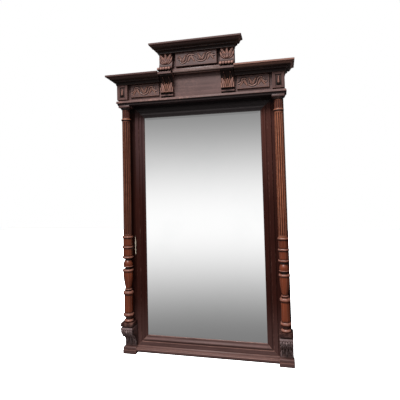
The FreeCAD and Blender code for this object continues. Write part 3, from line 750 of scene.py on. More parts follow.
def carve_wave(width, height, turns, sizes):
    """Scrolling wave with a pair of leaves in each hollow, on a flat panel."""
    relief = Relief(width, height, gloom=0.4, pitch=0.75)
    wave = wave_line(turns)
    upper = [(x - 2.5, s - 5.0) for x, s in wave]
    lower = [(x + 1.5, s + 1.5) for x, s in wave]
    for x, s in turns[1:-1]:
        way = 1 if s < height / 2 else -1
        root = s + way * sizes.sprig_gap / MM
        for side in (-1, 1):
            guide = [(x + side * 3, root), (x + side * 9, root + way * 12),
                     (x + side * 20, root + way * 29)]
            relief.blade(guide, width=13, rise=2.0, vein=0.4, groove=1.3)
            relief.glow(guide, 13, 0.75)
            # Dark line down each sprig's cut: painted shade
            relief.stroke([(x, root + way * 5), (x + side * 16, root + way * 28)], 2.4, -0.6)
        relief.drop(x, root - way, 3.0, -1.6)
    relief.band(wave, sizes.band_width / MM, sizes.band_rise / MM, groove=0.3)
    relief.channel(upper, 6, 2.4)
    # Painted shadow along the channel above the wave, and a painted highlight along its lower side
    relief.stroke(upper, 4.2, -1.1)
    relief.stroke(lower, 5.5, 0.35)
    relief.rim(3, 3, ends=True)
    return relief


def carve_upper_console():
    """Fan of broad leaves over a smooth flare with a scalloped lip."""
    relief = Relief(80, 168, gloom=0.25)
    relief.level -= 2.0 * (1 - smooth_step(relief.s, 48, 60))
    relief.mirrored_blades([(9, 52), (26, 50), (38, 22)], width=17, rise=3.6, vein=0.3,
                           groove=1.8, tip=0.4)
    relief.mirrored_blades([(3, 50), (15, 38), (33, 0)], width=19, rise=5.0, vein=0.4,
                           groove=2.0, tip=0.4)
    relief.blade([(0, 51), (0, 28), (0, -8)], width=15, rise=6.0, vein=0.5, groove=2.0, tip=0.4)
    # The dark spots are painted shade in the pockets between the leaves
    for side in (-1, 1):
        relief.spot(side * 13.5, 10, 8, -1.3)
        relief.spot(side * 31, 24, 7, -1.1)
        relief.spot(side * 29, 43, 3.5, -1.0)
        relief.glow([(side * 14, 6), (side * 16, 26)], 13, 0.7)
    # The upward flare is painted darker: painted shade
    relief.shade -= 0.50 * plateau(relief.s, 50, 70, 110, 114)
    relief.reed(90, 2.6, -0.6)
    # Painted highlight on the scalloped lip
    relief.shade += 0.25 * plateau(relief.s, 116, 120, 134, 138)
    for x in (-32, -16, 0, 16, 32):
        relief.drop(x, 128, 8.0, 4.5)
    # Painted shade under the lip
    relief.shade -= 1.6 * smooth_step(relief.s, 134, 138)
    relief.rim(2.5, 1.5)
    return relief


def carve_lower_console():
    """Palmette on the face, under a bell painted dark as painted shadow."""
    relief = Relief(76.5, 174, gloom=0.45)
    relief.level -= 3.0 * plateau(relief.s, 8, 18, 106, 116)
    relief.mirrored_blades([(12, 96), (22, 64), (18, 24)], width=15, rise=2.6, vein=0.3,
                           groove=2.0, base=0.3, tip=0.5)
    relief.mirrored_blades([(20, 123), (37, 121), (36, 88)], width=17, rise=5.0, vein=0.2,
                           groove=2.4, tip=0.5)
    relief.mirrored_blades([(13, 121), (21, 96), (31, 62)], width=20, rise=6.5, vein=0.3,
                           groove=2.8, tip=0.45)
    relief.blade([(0, 122), (0, 98), (0, 66)], width=26, rise=6.5, vein=0.2, groove=2.4,
                 base=0.4, tip=0.5)
    relief.glow([(0, 56), (0, 112)], 44, 0.95)
    aside = np.abs(relief.x)
    # Painted shadow of the plate above darkens the bell
    relief.shade -= 2.4 * (1 - smooth_step(relief.s + 0.012 * relief.x ** 2, 46, 90))
    relief.shade -= 0.45 * (1 - smooth_step(aside, 6, 14))
    # Painted highlight on the side lobes
    relief.shade += 0.15 * smooth_step(aside, 14, 22) * smooth_step(relief.s, 70, 92)
    # Painted shade in the pockets beside the middle leaf
    for side in (-1, 1):
        relief.spot(side * 13, 90, 5, -0.8)
    relief.level *= 1 - smooth_step(relief.s, 117, 120)
    # Painted shade in the groove under the leaves and in the recess at the foot
    relief.shade -= 1.4 * plateau(relief.s, 119, 121, 140, 144)
    relief.shade -= 1.2 * smooth_step(relief.s, 154, 156)
    relief.rim(2, 1.0)
    return relief


def carve_bracket():
    """Leaf that hangs down the bracket from a row of tips under the cap."""
    relief = Relief(69, 151, gloom=0.15)
    relief.level -= 1.6 * plateau(relief.s, 18, 24, 138, 147)
    relief.mirrored_blades([(20, 112), (32, 122), (29, 146)], width=12, rise=3.0, vein=0.8,
                           groove=1.3, base=0.3, lobes=2)
    relief.mirrored_blades([(7, 22), (32, 34), (29, 100)], width=16, rise=3.6, vein=1.0,
                           groove=1.4, base=0.3, lobes=4)
    relief.mirrored_blades([(3, 22), (17, 58), (17, 130)], width=16, rise=4.2, vein=1.0,
                           groove=1.4, base=0.3, lobes=5)
    relief.blade([(0, 22), (0, 72), (0, 146)], width=15, rise=4.6, vein=1.2, groove=1.6,
                 base=0.3, lobes=6)
    for x in (-27.5, -13.8, 0, 13.8, 27.5):
        relief.blade([(x, 24), (x, 17), (x, 9)], width=14.5, rise=3.0, vein=0.5, groove=2.6,
                     base=0.45)
    # The cap's top edge gets a painted highlight; the small rise all over adds a little of the
    # crown colour
    relief.shade += 0.9 * (1 - smooth_step(relief.s, 6, 9)) + 0.12
    for s in range(34, 140, 13):
        for side in (-1, 1):
            relief.stroke([(side * 6, s), (side * 30, s - 16)], 2.6, 0.4)
    relief.rim(2.5, 1.6)
    return relief


def carve_end_block():
    """Sunk panel with a tall drop that swells to a ridge near its foot."""
    relief = Relief(66, 88, gloom=0.15)
    aside = np.abs(relief.x)
    panel_half, panel_top, panel_bottom, panel_sink = 17, 12, 76, 4
    drop_top, ridge, ridge_end, drop_bottom, drop_rise = 18, 58, 61, 74, 16
    inside = np.minimum(panel_half - aside,
                        np.minimum(relief.s - panel_top, panel_bottom - relief.s))
    relief.level -= panel_sink * np.clip(inside / 2.5, 0, 1)
    down = np.clip((relief.s - drop_top) / 41, 0, 1)
    rise = drop_rise * down * np.clip((drop_bottom - relief.s) / 15, 0, 1)
    half = np.clip(3.5 + 9 * (relief.s - drop_top) / (drop_bottom - drop_top), 3.5, 12.5)
    slope = np.clip((half - aside) / half, 0, 1)
    on_drop = (relief.s > drop_top) * (relief.s < drop_bottom)
    relief.level += rise * slope * on_drop
    # Painted shade round the sunk panel and at the drop's foot, and a painted highlight on the
    # drop's ridge
    relief.shade -= np.exp(-(inside / 1.6) ** 2)
    relief.shade += 0.7 * slope ** 2 * on_drop * (relief.s < ridge)
    relief.shade -= 1.2 * (slope > 0) * smooth_step(relief.s, ridge, ridge_end) * on_drop
    relief.rim(1.6, 0.8, ends=True)
    return relief


# Side outlines of the carved bodies, as distance in front of the wall and level under their top
UPPER_LINE = path_through(
    [(117, 0), (117, -57), (162, -92), (162, -105), (138, -105), (138, -113)],
    {1: 0.22, 2: -0.20})
LOWER_LINE = path_through(
    [(150, 0), (150, -8), (112, -52), (112, -101), (104, -101), (104, -112), (112, -112),
     (112, -121), (104, -121), (104, -130)], {1: 0.16})
BRACKET_LINE = path_through(
    [(113, 0), (113, -14), (79.5, -54.5), (46, -95), (46, -123)], {1: -0.12, 2: 0.12})
END_LINE = np.array([(116, 0), (116, -88)])

# Bodies: start of the name, carving, outline, distance of the back, other nodes that they replace
CARVED_BODIES = [("upper_console_", carve_upper_console, UPPER_LINE, 88),
                 ("lower_console_", carve_lower_console, LOWER_LINE, 88),
                 ("bottom_bracket_", carve_bracket, BRACKET_LINE, 30),
                 ("end_block_", carve_end_block, END_LINE, 92, "end_drops")]

# Blocks between column and bracket: half width, distances of back and front, and height
BRACKET_BLOCKS = [("seat_block_", 35.5, (30.0, 111.0), 18.0),
                  ("neck_block_", 30.0, (30.0, 104.0), 9.0)]
BLOCK_EASE = 1.2

# Wave panels: node, distances of back and face, and the turns of the wave on it
LOWER_TURNS = [(-79, 44), (-51, 17), (-3, 61), (46, 17), (74, 44)]
CREST_TURNS = [(-103, 38), (-79, 64), (-28, 17), (34, 60), (85, 14), (109, 34)]
WAVE_PANELS = [("carved_panel_left", 92, 102, LOWER_TURNS),
               ("carved_panel_right", 92, 102, LOWER_TURNS),
               ("crest_panel", 88, 119, CREST_TURNS)]
# How much paler the sides of the carved pieces are painted towards the wall: a painted light
PANEL_SIDE_PAINTED_LIGHT, BODY_SIDE_PAINTED_LIGHT = 0.8, 0.6


# Turned posts

COLUMN_X, COLUMN_DISTANCE = 453.0, 73.0
ABACUS_HALF, ABACUS_HEIGHT, ABACUS_EASE = 34.0, 12.0, 1.0

# A square with cut corners: angles of its points, angle of a corner, reach of a cut
POST_ANGLES = (-45, -35, -25.7, -22.7, -12, 0, 12, 22.7, 25.7, 35)
CORNER = math.atan(0.45)
DIAGONAL = 1.45 / math.sqrt(2)

# Steps up a post: half width below and above, height, bulge as a share of the slant, squared
RING = (26.5, 26.5, 11.5, 0.18, True)
DRUM = (24.0, 24.0, 45.0, 0, True)
QUIRK = (21.5, 21.5, 3.0, 0, True)
LOWER_STEPS = [
    (20.5, 20.5, 17.0, 0.35, False), (16.0, 16.0, 17.0, 0, True), (24.5, 24.5, 19.0, 0.18, True),
    (22.0, 22.0, 104.0, 0, True), (19.5, 19.5, 3.0, 0, True), (23.5, 23.5, 21.0, 0.18, True),
    (13.5, 13.5, 6.0, 0, True), (17.5, 17.5, 8.0, 0.18, True), (13.5, 25.0, 76.0, 0.02, True),
    (25.0, 25.0, 24.0, 0, True), (26.5, 26.5, 14.0, 0.18, True), (15.0, 15.0, 15.0, 0, True),
    (25.5, 25.5, 5.0, 0.30, False), (24.0, 15.0, 35.0, 0.14, False), (15.0, 15.0, 10.0, 0, True),
    RING, DRUM, QUIRK, RING, DRUM, QUIRK, RING]
COLLAR = (25.5, 25.5, 12.0, 0.30, False)
NECK_CORE = (19.0, 19.0, 52.0, 0, False)
OVOLO = (21.0, 30.0, 14.0, 0.18, False)
UPPER_STEPS = [COLLAR, NECK_CORE, OVOLO]
STEP_HEIGHT = 2

# Crest values of a post: top of a ring (wear and painted highlight), underside of a ring (painted
# shade), arris of a square, and how wide the arris is
RING_TOP_RUB_AND_HIGHLIGHT, UNDER_RING_PAINTED_SHADE, ARRIS_RUB, ARRIS_WIDTH = 1.0, -0.45, 0.6, 0.03

# Fluted lengths: radius, and how far the flutes stop from the ends; fineness of their tube
SHAFT = (24.0, 14.0)
NECK = (23.2, 7.0)
FLUTE_POINTS, SHAFT_SEGMENTS = 12, 56


def post_rows(steps, level):
    """Rows of (half, level, squared, crest) up a post, and the level of its top. Rings are
    painted paler on top, as wear and painted highlight, and darker below as painted shade; all
    else keeps its stain, but its hollows are darkened as painted shade."""
    rows, rings = [], []
    for lower, upper, height, share, squared in steps:
        count = 10 if share > 0.1 else (14 if lower != upper else 8)
        slant = math.hypot(height, upper - lower)
        for index in range(count + 1):
            t = (1 - math.cos(math.pi * index / count)) / 2
            arch = 1 - (2 * t - 1) ** 2
            rows.append((lower + (upper - lower) * t + share * slant * arch, level + height * t,
                         squared))
            rings.append((RING_TOP_RUB_AND_HIGHLIGHT if t > 0.42 else UNDER_RING_PAINTED_SHADE) if share > 0.15 else 0.0)
        level += height
    halves = np.array([row[0] for row in rows])
    levels = np.array([row[1] for row in rows])
    # Hollows of the outline are darkened as painted shade
    around = np.mean([np.interp(levels + shift, levels, halves) for shift in range(-9, 10, 2)], 0)
    hollow = np.clip((halves - around) / 3.0, -1, 0)
    crest = np.where(rings, rings, hollow)
    return [(*row, value) for row, value in zip(rows, crest)], level


def post_mesh(name, rows, x):
    """Closed post from rows of one outline: round, or square with cut corners."""
    angles = np.radians([90 * quarter + angle for quarter in range(4) for angle in POST_ANGLES])
    folded = (angles + math.pi / 4) % (math.pi / 2) - math.pi / 4
    square = np.minimum(1 / np.cos(folded), DIAGONAL / np.cos(math.pi / 4 - np.abs(folded)))
    corner = np.exp(-((np.abs(folded) - CORNER) / ARRIS_WIDTH) ** 2)
    count = len(angles)
    points, crest = [], []
    for half, level, squared, rub_and_painted_light in rows:
        reach = half * (square if squared else np.ones(count))
        points.append(np.stack([(x + reach * np.cos(angles)) * MM,
                                depth(COLUMN_DISTANCE - reach * np.sin(angles)),
                                np.full(count, level * MM)], 1))
        arris = ARRIS_RUB if squared and rub_and_painted_light > -0.15 else 0.0
        crest.append(np.clip(rub_and_painted_light + corner * arris, -1, 1))
    faces = [list(reversed(range(count))), list(range((len(rows) - 1) * count, len(rows) * count))]
    for row in range(len(rows) - 1):
        for index in range(count):
            start, end = row * count + index, row * count + (index + 1) % count
            faces.append((start, end, end + count, start + count))
    return closed_mesh(name, np.concatenate(points), faces, POST_SHARP,
                       crest=np.concatenate(crest))


def shaft_tree():
    """Fluted shaft: a fine tube whose skin sinks to round-ended flutes."""
    tree, sheet, sizes = new_tree("fluted_shaft", Flutes="Int", Radius="Float", Bottom="Float",
                                  Height="Float", Hollow="Float", Sink="Float", Margin="Float",
                                  Material="Material")
    flutes, radius, height = sizes["Flutes"], sizes["Radius"], sizes["Height"]
    hollow, sink, margin = sizes["Hollow"], sizes["Sink"], sizes["Margin"]
    tube = sheet.node("GeometryNodeMeshCylinder", {"fill_type": "NGON"},
                      Vertices=flutes * FLUTE_POINTS, Side_Segments=SHAFT_SEGMENTS,
                      Radius=radius, Depth=height)
    place = sheet.node("GeometryNodeInputPosition")
    x, y, z = [sheet.part(place, axis) for axis in "XYZ"]
    ends = margin * 1.6
    share = z * (height ** -1.0) + 0.5
    level = (ends * share.ramp(0.0, 0.45) + (height - ends * 2.0) * share.ramp(0.45, 0.55)
             + ends * share.ramp(0.55, 1.0))
    turn = y.sum_with("ARCTAN2", y, x) * flutes * (0.5 / math.pi) + 0.5
    phase = turn.sum_with("FRACT", turn, None) - 0.5
    across = phase.size() * radius * (2 * math.pi) * (flutes ** -1.0)
    beyond = (margin - level).largest(level - height + margin).largest(0.0)
    gap = (across * across + beyond * beyond).root()
    cut = ((hollow * hollow - gap * gap).largest(0.0).root() - hollow + sink).largest(0.0)
    land = 1.0 - (hollow * 0.94 - gap).largest(0.0) * 1500.0
    crest = land.largest(0.0) - cut * (sink ** -1.0) * 0.55
    tube = sheet.node("GeometryNodeStoreNamedAttribute",
                      {"data_type": "FLOAT", "domain": "POINT"}, Geometry=tube, Name="crest",
                      Value=crest)
    scale = 1.0 - cut * (radius ** -1.0)
    moved = sheet.node("ShaderNodeCombineXYZ", None, x * scale, y * scale,
                       level + sizes["Bottom"])
    tube = sheet.node("GeometryNodeSetPosition", None, Geometry=tube, Position=moved)
    close_tree(sheet, tube, sizes["Material"])
    return tree


def screw_tree():
    """Slotted countersunk screws on the points that come in, each turned another way."""
    tree, sheet, sizes = new_tree("slotted_screws", Points="Geometry", Head="Float",
                                  Length="Float", Seed="Int", Material="Material")
    head, reach = sizes["Head"], sizes["Length"]

    def sunk_cone(vertices, top, bottom, height, drop):
        """Cone that is let down by a drop."""
        cone = sheet.node("GeometryNodeMeshCone", None, Vertices=vertices, Radius_Top=top,
                          Radius_Bottom=bottom, Depth=height)
        down = sheet.node("ShaderNodeCombineXYZ", None, 0.0, 0.0, drop * -1.0)
        return sheet.node("GeometryNodeTransform", None, Geometry=cone, Translation=down)

    cone = sunk_cone(20, head, head * 0.45, head * 0.55, head * 0.55)
    shank = sunk_cone(12, head * 0.45, head * 0.12, reach - head * 0.5, reach)
    slot = sheet.node("GeometryNodeMeshCube", None,
                      sheet.node("ShaderNodeCombineXYZ", None, head * 2.4, head * 0.24,
                                 head * 0.44))
    notched = sheet.tree.nodes.new("GeometryNodeMeshBoolean")
    notched.operation = "DIFFERENCE"
    sheet.tree.links.new(cone.socket, notched.inputs[0])
    sheet.tree.links.new(slot.socket, notched.inputs[1])
    joined = sheet.tree.nodes.new("GeometryNodeJoinGeometry")
    for part in (notched.outputs[0], shank.socket):
        sheet.tree.links.new(part, joined.inputs[0])
    turn = sheet.node("FunctionNodeRandomValue", {"data_type": "FLOAT_VECTOR"},
                      (-math.pi / 2, -math.pi, 0.0), (-math.pi / 2, math.pi, 0.0),
                      Seed=sizes["Seed"])
    placed = sheet.node("GeometryNodeInstanceOnPoints", None, Points=sizes["Points"],
                        Instance=Signal(sheet, joined.outputs[0]), Rotation=turn)
    close_tree(sheet, placed, sizes["Material"])
    return tree


# Finishes of the boards

# Kinds of boards by the start of their names; the rest is of the frame kind
KINDS = [("pine", ("backboard", "glass_blocks", "spacer", "frieze_back", "dust_board")),
         ("cornice", ("cornice", "crest_cornice", "crest_top")),
         # The top rail and the glass moulding's top take the painted shade of the architrave's
         # shadow
         ("dusk", ("top_rail", "glass_moulding_top")),
         ("foot", ("base", "plinth", "bottom_rail", "glass_moulding_bottom")),
         ("string", ("string", "architrave")),
         ("faded", ("crest_shelf", "frieze_board", "frieze_end", "centre", "console_plate"))]

# Nodes of iron, and all the nodes that the boards leave to other steps
IRON_NODES = ("hanging",)
OTHER_NODES = IRON_NODES + ("mirror_glass", "column", "upper_console", "lower_console",
                            "bottom_bracket", "carved_panel", "crest_panel", "backboard_screws",
                            "end_")

# Looks of the boards and of their rubbed edges, and how far the grain moves from one to the next
FRIEZE = dict(deep="frieze_deep", pale="frieze")
BOARD_WOODS = {
    "cornice": dict(deep="cornice_deep", pale="cornice", polish=0.34, dust_and_top_light=0.2, specular=0.2),
    # Painted shade: nearly black boards under the architrave
    "dusk": dict(deep="dusk_deep", pale="dusk", polish=0.34, specular=0.4),
    "frame": dict(deep="stain_deep", pale="stain", polish=0.42, specular=0.12),
    "faded": dict(**FRIEZE, polish=0.36, dust_and_top_light=0.25, specular=0.45, rub=0.12),
    "string": dict(**FRIEZE, polish=0.42, dust_and_top_light=0.35, specular=0.2, rub=0.5),
    "foot": dict(**FRIEZE, polish=0.40, dust_and_top_light=0.1, specular=0.25, rub=0.06),
    "pine": dict(deep="pine_deep", pale="pine", polish=0.62, specular=0.2)}
RUBBED = dict(deep="frieze", pale="worn", polish=0.3, dust_and_top_light=0.3, specular=0.4, rub=0.8)
EDGE_WOODS = {
    "cornice": dict(axis="X", shift=40.0, deep="cornice", pale="stain", polish=0.3, dust_and_top_light=0.5,
                    specular=0.4, rub=0.35),
    # Painted shade under the architrave, with greyer edges
    "dusk": dict(axis="X", shift=49.0, deep="dusk", pale="painted_shade_rub", polish=0.3, specular=0.4),
    "frame": dict(axis="Z", shift=43.0, deep="stain", pale="turned_deep", polish=0.3, dust_and_top_light=0.2,
                  specular=0.4, rub=0.5),
    "faded": dict(axis="X", shift=46.0, **RUBBED),
    "string": dict(axis="X", shift=52.0, **RUBBED),
    "pine": dict(axis="X", shift=55.0, deep="cornice", pale="pine_deep", polish=0.6,
                 specular=0.2)}
SHIFT_STEP = 3.0


# Fades: from where they are measured, start, end, share and colour

def cornice_fades(share, shade):
    """Top of a cornice painted to another colour, as wear and a painted highlight, over a cove
    darkened as painted shade.
    """
    return [("top", -0.024, -0.014, share, shade), ("top", -0.028, -0.033, 0.80, "dusk_deep")]


def frame_fades(share, shade):
    """Upright of the frame: painted paler towards its foot as a painted sheen, changed from its
    middle up to the colour it is given (a painted sheen on the mouldings and the right stile,
    painted shade on the left stile), and darkened at its top as painted shade.
    """
    return [("floor", 0.36, 0.06, 0.55, "frieze"), ("floor", 0.86, 1.22, share, shade),
            ("opening", 0.022, 0.048, 0.90, "dusk")]


FADES = [
    # The right cornice's top gets the stronger painted highlight
    (("cornice_front_right", "cornice_return_right"), cornice_fades(0.80, "worn")),
    (("cornice", "crest_cornice", "crest_top"), cornice_fades(0.65, "frieze")),
    # Painted shade under the string's nose
    (("string", "architrave"), [("top", -0.011, -0.015, 1.00, "dusk")]),
    # Painted shade under the crest shelf's top
    ("crest_shelf", [("top", -0.001, -0.008, 0.75, "cornice")]),
    ("stile_left", frame_fades(0.25, "dusk")),
    ("glass_moulding_left", frame_fades(0.24, "painted_grey_sheen")),
    (("stile_right", "glass_moulding_right"), frame_fades(0.24, "painted_red_sheen")),
    # Over the glass: a painted highlight on the bead, and painted shade below it
    ("glass_moulding_top", [("opening", 0.029, 0.026, 1.00, "bead"),
                            ("opening", 0.017, 0.014, 0.80, "dusk")])]
# Pale sliver on the left stile: its board, then its middle and reach
SLIVER_BOARD, SLIVER = "stile_left", ((-0.4215, 0.0565, 0.627), (0.0024, 0.02, 0.055))


def board_fades(name):
    """Fades of a board as (start, end, share, colour), in metres above the floor."""
    levels = {"floor": 0.0, "top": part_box(name)[1].z, "opening": OPENING_HIGH}
    fades = next((fades for starts, fades in FADES if name.startswith(starts)), ())
    return [(levels[base] + start, levels[base] + end, share, shade)
            for base, start, end, share, shade in fades]


class MIRROR_OT_boards(bpy.types.Operator):
    """Stain the boards, mouldings and back of the mirror."""
    bl_idname = "mirror.boards"
    bl_label = "Boards"

    def execute(self, context):
        edge_round = context.scene.mirror_sizes.edge_round
        edges = {}
        for kind, look in EDGE_WOODS.items():
            # The string's eased edges share its painted shade under the nose
            fades = board_fades("string_moulding_front") if kind == "string" else ()
            edges[kind] = wood(kind + "_edge", fades=fades, **look)
        edges["foot"] = edges["faded"]
        made = {}
        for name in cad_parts:
            if name.startswith(OTHER_NODES):
                continue
            kind = next((kind for kind, starts in KINDS if name.startswith(starts)), "frame")
            axis = long_axis(name)
            sliver = SLIVER if name == SLIVER_BOARD else None
            plank = name if name.startswith("backboard") else None
            fades = board_fades(name)
            key = (kind, axis, sliver, plank, *fades)
            if key not in made:
                count = len(made)
                made[key] = wood("%s_wood_%d" % (kind, count), axis, count * SHIFT_STEP,
                                 fades=fades, sliver=sliver, **BOARD_WOODS[kind])
            dress(name, made[key], edges[kind], edge=edge_round)
        return {"FINISHED"}


class MIRROR_OT_panels(bpy.types.Operator):
    """Carve the wave panels of the frieze and the crest."""
    bl_idname = "mirror.panels"
    bl_label = "Wave Panels"

    def execute(self, context):
        crest_fade = (1.60, 1.62, 0.32, "frieze_deep")
        material = wood("wave_wood", axis="X", shift=24.0, carved=0.6, fades=[crest_fade],
                        **BOARD_WOODS["faded"])
        for node, back, face, turns in WAVE_PANELS:
            low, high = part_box(node)
            width, height = (high.x - low.x) / MM, (high.z - low.z) / MM
            relief = carve_wave(width, height, turns, context.scene.mirror_sizes)
            line = np.array([(face, 0), (face, -height)])
            mesh = carved_mesh(node + "_wave", relief, line, high.z / MM,
                               (low.x + high.x) / 2 / MM, back, PANEL_SIDE_PAINTED_LIGHT)
            add_piece(mesh, material, "carved_walnut", node)
        return {"FINISHED"}


class MIRROR_OT_consoles(bpy.types.Operator):
    """Carve the consoles of the crest, the end blocks and the brackets under the columns."""
    bl_idname = "mirror.consoles"
    bl_label = "Consoles and Brackets"

    def execute(self, context):
        leaf = wood("leaf_wood", axis="Z", shift=21.0, **FRIEZE, polish=0.44, dust_and_top_light=0.15,
                    specular=0.2, rub=0.12, carved=0.95)
        ashen = wood("bracket_wood", axis="Z", shift=22.0, **FRIEZE, polish=0.34, dust_and_top_light=0.3,
                     specular=0.45, rub=0.12, carved=0.95, crown="ash")
        seat = wood("seat_wood", axis="X", shift=27.0, deep="stain_deep", pale="frieze_deep",
                    polish=0.3, specular=0.3, rub=0.35)
        # The recessed neck block is painted in the dark cornice stain as painted shade
        neck = wood("neck_wood", axis="X", shift=30.0, deep="cornice_deep", pale="cornice",
                    polish=0.5, specular=0.1)
        for start, carve, line, back, *others in CARVED_BODIES:
            relief = carve()
            for side in ("left", "right"):
                low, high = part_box(start + side)
                middle, top = (low.x + high.x) / 2 / MM, high.z / MM
                finish = leaf
                if start == "bottom_bracket_":
                    top = self.add_blocks(side, middle, top, (seat, neck))
                    finish = ashen
                mesh = carved_mesh(start + side + "_leaf", relief, line, top, middle, back,
                                   BODY_SIDE_PAINTED_LIGHT)
                add_piece(mesh, finish, "carved_walnut", start + side, *others)
        return {"FINISHED"}

    def add_blocks(self, side, x, top, finishes):
        """The two blocks between a column and its bracket; returns the bracket's own top."""
        for (name, half, distances, height), finish in zip(BRACKET_BLOCKS, finishes):
            mesh = block_mesh(name + side, (x - half, x + half), distances, (top - height, top),
                              BLOCK_EASE)
            add_piece(mesh, finish, "carved_walnut", "bottom_bracket_" + side)
            top -= height
        return top


class MIRROR_OT_columns(bpy.types.Operator):
    """Turn the columns and flute their shafts."""
    bl_idname = "mirror.columns"
    bl_label = "Columns"

    def execute(self, context):
        turned = dict(deep="turned_deep", pale="turned")
        # The shafts are darker at their necks and tops, and darker towards their feet
        shaft_fades = [(1.360, 1.392, 0.75, "stain"), (0.95, 0.66, 0.45, "stain")]
        # The left shaft takes 0.60 of the stain and less of its crown: painted shade, a darker copy
        # of the right shaft's wood
        shafts = {side: wood("turned_wood_" + side, axis="Z", shift=15.0, **turned, polish=0.28,
                             dust_and_top_light=0.1, specular=0.35, rub=0.1, carved=carved, crown="arris",
                             strength=strength, fades=shaft_fades)
                  for side, strength, carved in (("left", 0.60, 0.6), ("right", 1.0, 0.85))}
        foot = wood("post_wood", axis="Z", shift=18.0, **turned, polish=0.26, dust_and_top_light=0.2,
                    specular=0.4, carved=0.6)
        cap = wood("cap_wood", axis="X", shift=36.0, **BOARD_WOODS["faded"])
        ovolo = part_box("column_left")[1].z - (ABACUS_HEIGHT + OVOLO[STEP_HEIGHT]) * MM
        # Painted shade on the ovolo under the abacus
        head = wood("head_wood", axis="Z", shift=33.0, deep="stain_deep", pale="frieze_deep",
                    polish=0.3, dust_and_top_light=0.5, specular=0.4, carved=0.7, crown="arris",
                    fades=[(ovolo - 2 * MM, ovolo, 1.0, "dusk")])
        tree = shaft_tree()
        for way, side in ((-1, "left"), (1, "right")):
            x = way * COLUMN_X
            low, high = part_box("column_" + side)
            rows, shaft_bottom = post_rows(LOWER_STEPS, low.z / MM)
            self.add_turned(post_mesh("column_foot_" + side, rows, x), foot, side)
            shaft_top = high.z / MM - ABACUS_HEIGHT - sum(step[STEP_HEIGHT] for step in UPPER_STEPS)
            rows, top = post_rows(UPPER_STEPS, shaft_top)
            self.add_turned(post_mesh("column_head_" + side, rows, x), head, side)
            across, distances = [(middle - ABACUS_HALF, middle + ABACUS_HALF)
                                 for middle in (x, COLUMN_DISTANCE)]
            abacus = block_mesh("abacus_" + side, across, distances, (top, high.z / MM),
                                ABACUS_EASE)
            self.add_turned(abacus, cap, side)
            neck_bottom = shaft_top + COLLAR[STEP_HEIGHT]
            for label, kind, bottom, end in (
                    ("column_shaft_", SHAFT, shaft_bottom, shaft_top),
                    ("column_neck_", NECK, neck_bottom, neck_bottom + NECK_CORE[STEP_HEIGHT])):
                mesh = self.fluted_mesh(label + side, tree, kind, x, (bottom, end), shafts[side])
                self.add_turned(mesh, shafts[side], side)
        return {"FINISHED"}

    def add_turned(self, mesh, material, side):
        """Links a piece that stands for a column."""
        add_piece(mesh, material, "walnut_column", "column_" + side)

    def fluted_mesh(self, name, tree, kind, x, levels, material):
        """Fluted length of a column between two levels."""
        sizes = bpy.context.scene.mirror_sizes
        radius, margin = kind
        bottom, top = levels
        mesh = grown_mesh(name, tree, Flutes=sizes.flute_count, Radius=radius * MM,
                          Bottom=bottom * MM, Height=(top - bottom) * MM,
                          Hollow=sizes.flute_radius, Sink=sizes.flute_sink, Margin=margin * MM,
                          Material=material)
        mesh.transform(Matrix.Translation((x * MM, depth(COLUMN_DISTANCE), 0.0)))
        tidy_mesh(mesh, SHAFT_SHARP)
        return mesh


# Screws of the back
SCREW_X, SCREW_INSET, SCREW_LENGTH, SCREW_SEED = 0.380, 0.014, 0.014, 7


class MIRROR_OT_fixings(bpy.types.Operator):
    """Blacken the hanging plates and drive the back's screws."""
    bl_idname = "mirror.fixings"
    bl_label = "Fixings"

    def execute(self, context):
        iron = iron_finish()
        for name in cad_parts:
            if name.startswith(IRON_NODES):
                dress(name, iron)
        places = []
        for index in range(1, 5):
            low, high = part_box("backboard_%d" % index)
            for level in (low.z + SCREW_INSET, high.z - SCREW_INSET):
                places += [(-SCREW_X, BACK, level), (SCREW_X, BACK, level)]
        seat = bpy.data.meshes.new("screw_places")
        seat.from_pydata(places, [], [])
        mesh = grown_mesh("slotted_back_screws", screw_tree(), seat,
                          Head=context.scene.mirror_sizes.screw_head, Length=SCREW_LENGTH,
                          Seed=SCREW_SEED, Material=iron)
        add_piece(mesh, iron, "iron", "backboard_screws")
        return {"FINISHED"}


class MIRROR_OT_glass(bpy.types.Operator):
    """Silver the glass."""
    bl_idname = "mirror.glass"
    bl_label = "Glass"

    def execute(self, context):
        dress("mirror_glass", glass_finish())
        return {"FINISHED"}


# The camera was fitted to the photograph: places in metres, turns in radians, lens in millimetres
CAMERA_PLACE = Vector((0.458, -2.1335, 0.994))
CAMERA_YAW, CAMERA_PITCH, CAMERA_ROLL = 0.235, 0.047, 0.023
SENSOR_WIDTH, CAMERA_LENS = 36.0, 34.199
CAMERA_SHIFT = (0.02373, -0.08395)

# Lamp and floor
LAMP_PLACE, LAMP_AIM = Vector((-0.7, -3.2, 5.2)), Vector((0.0, 0.0, 0.95))
LAMP_SIZE = 1.4
FLOOR_REACH = 6.0
FLOOR_COLOUR = (0.8, 0.8, 0.8, 1.0)
SHADOW_SHARE = 0.3

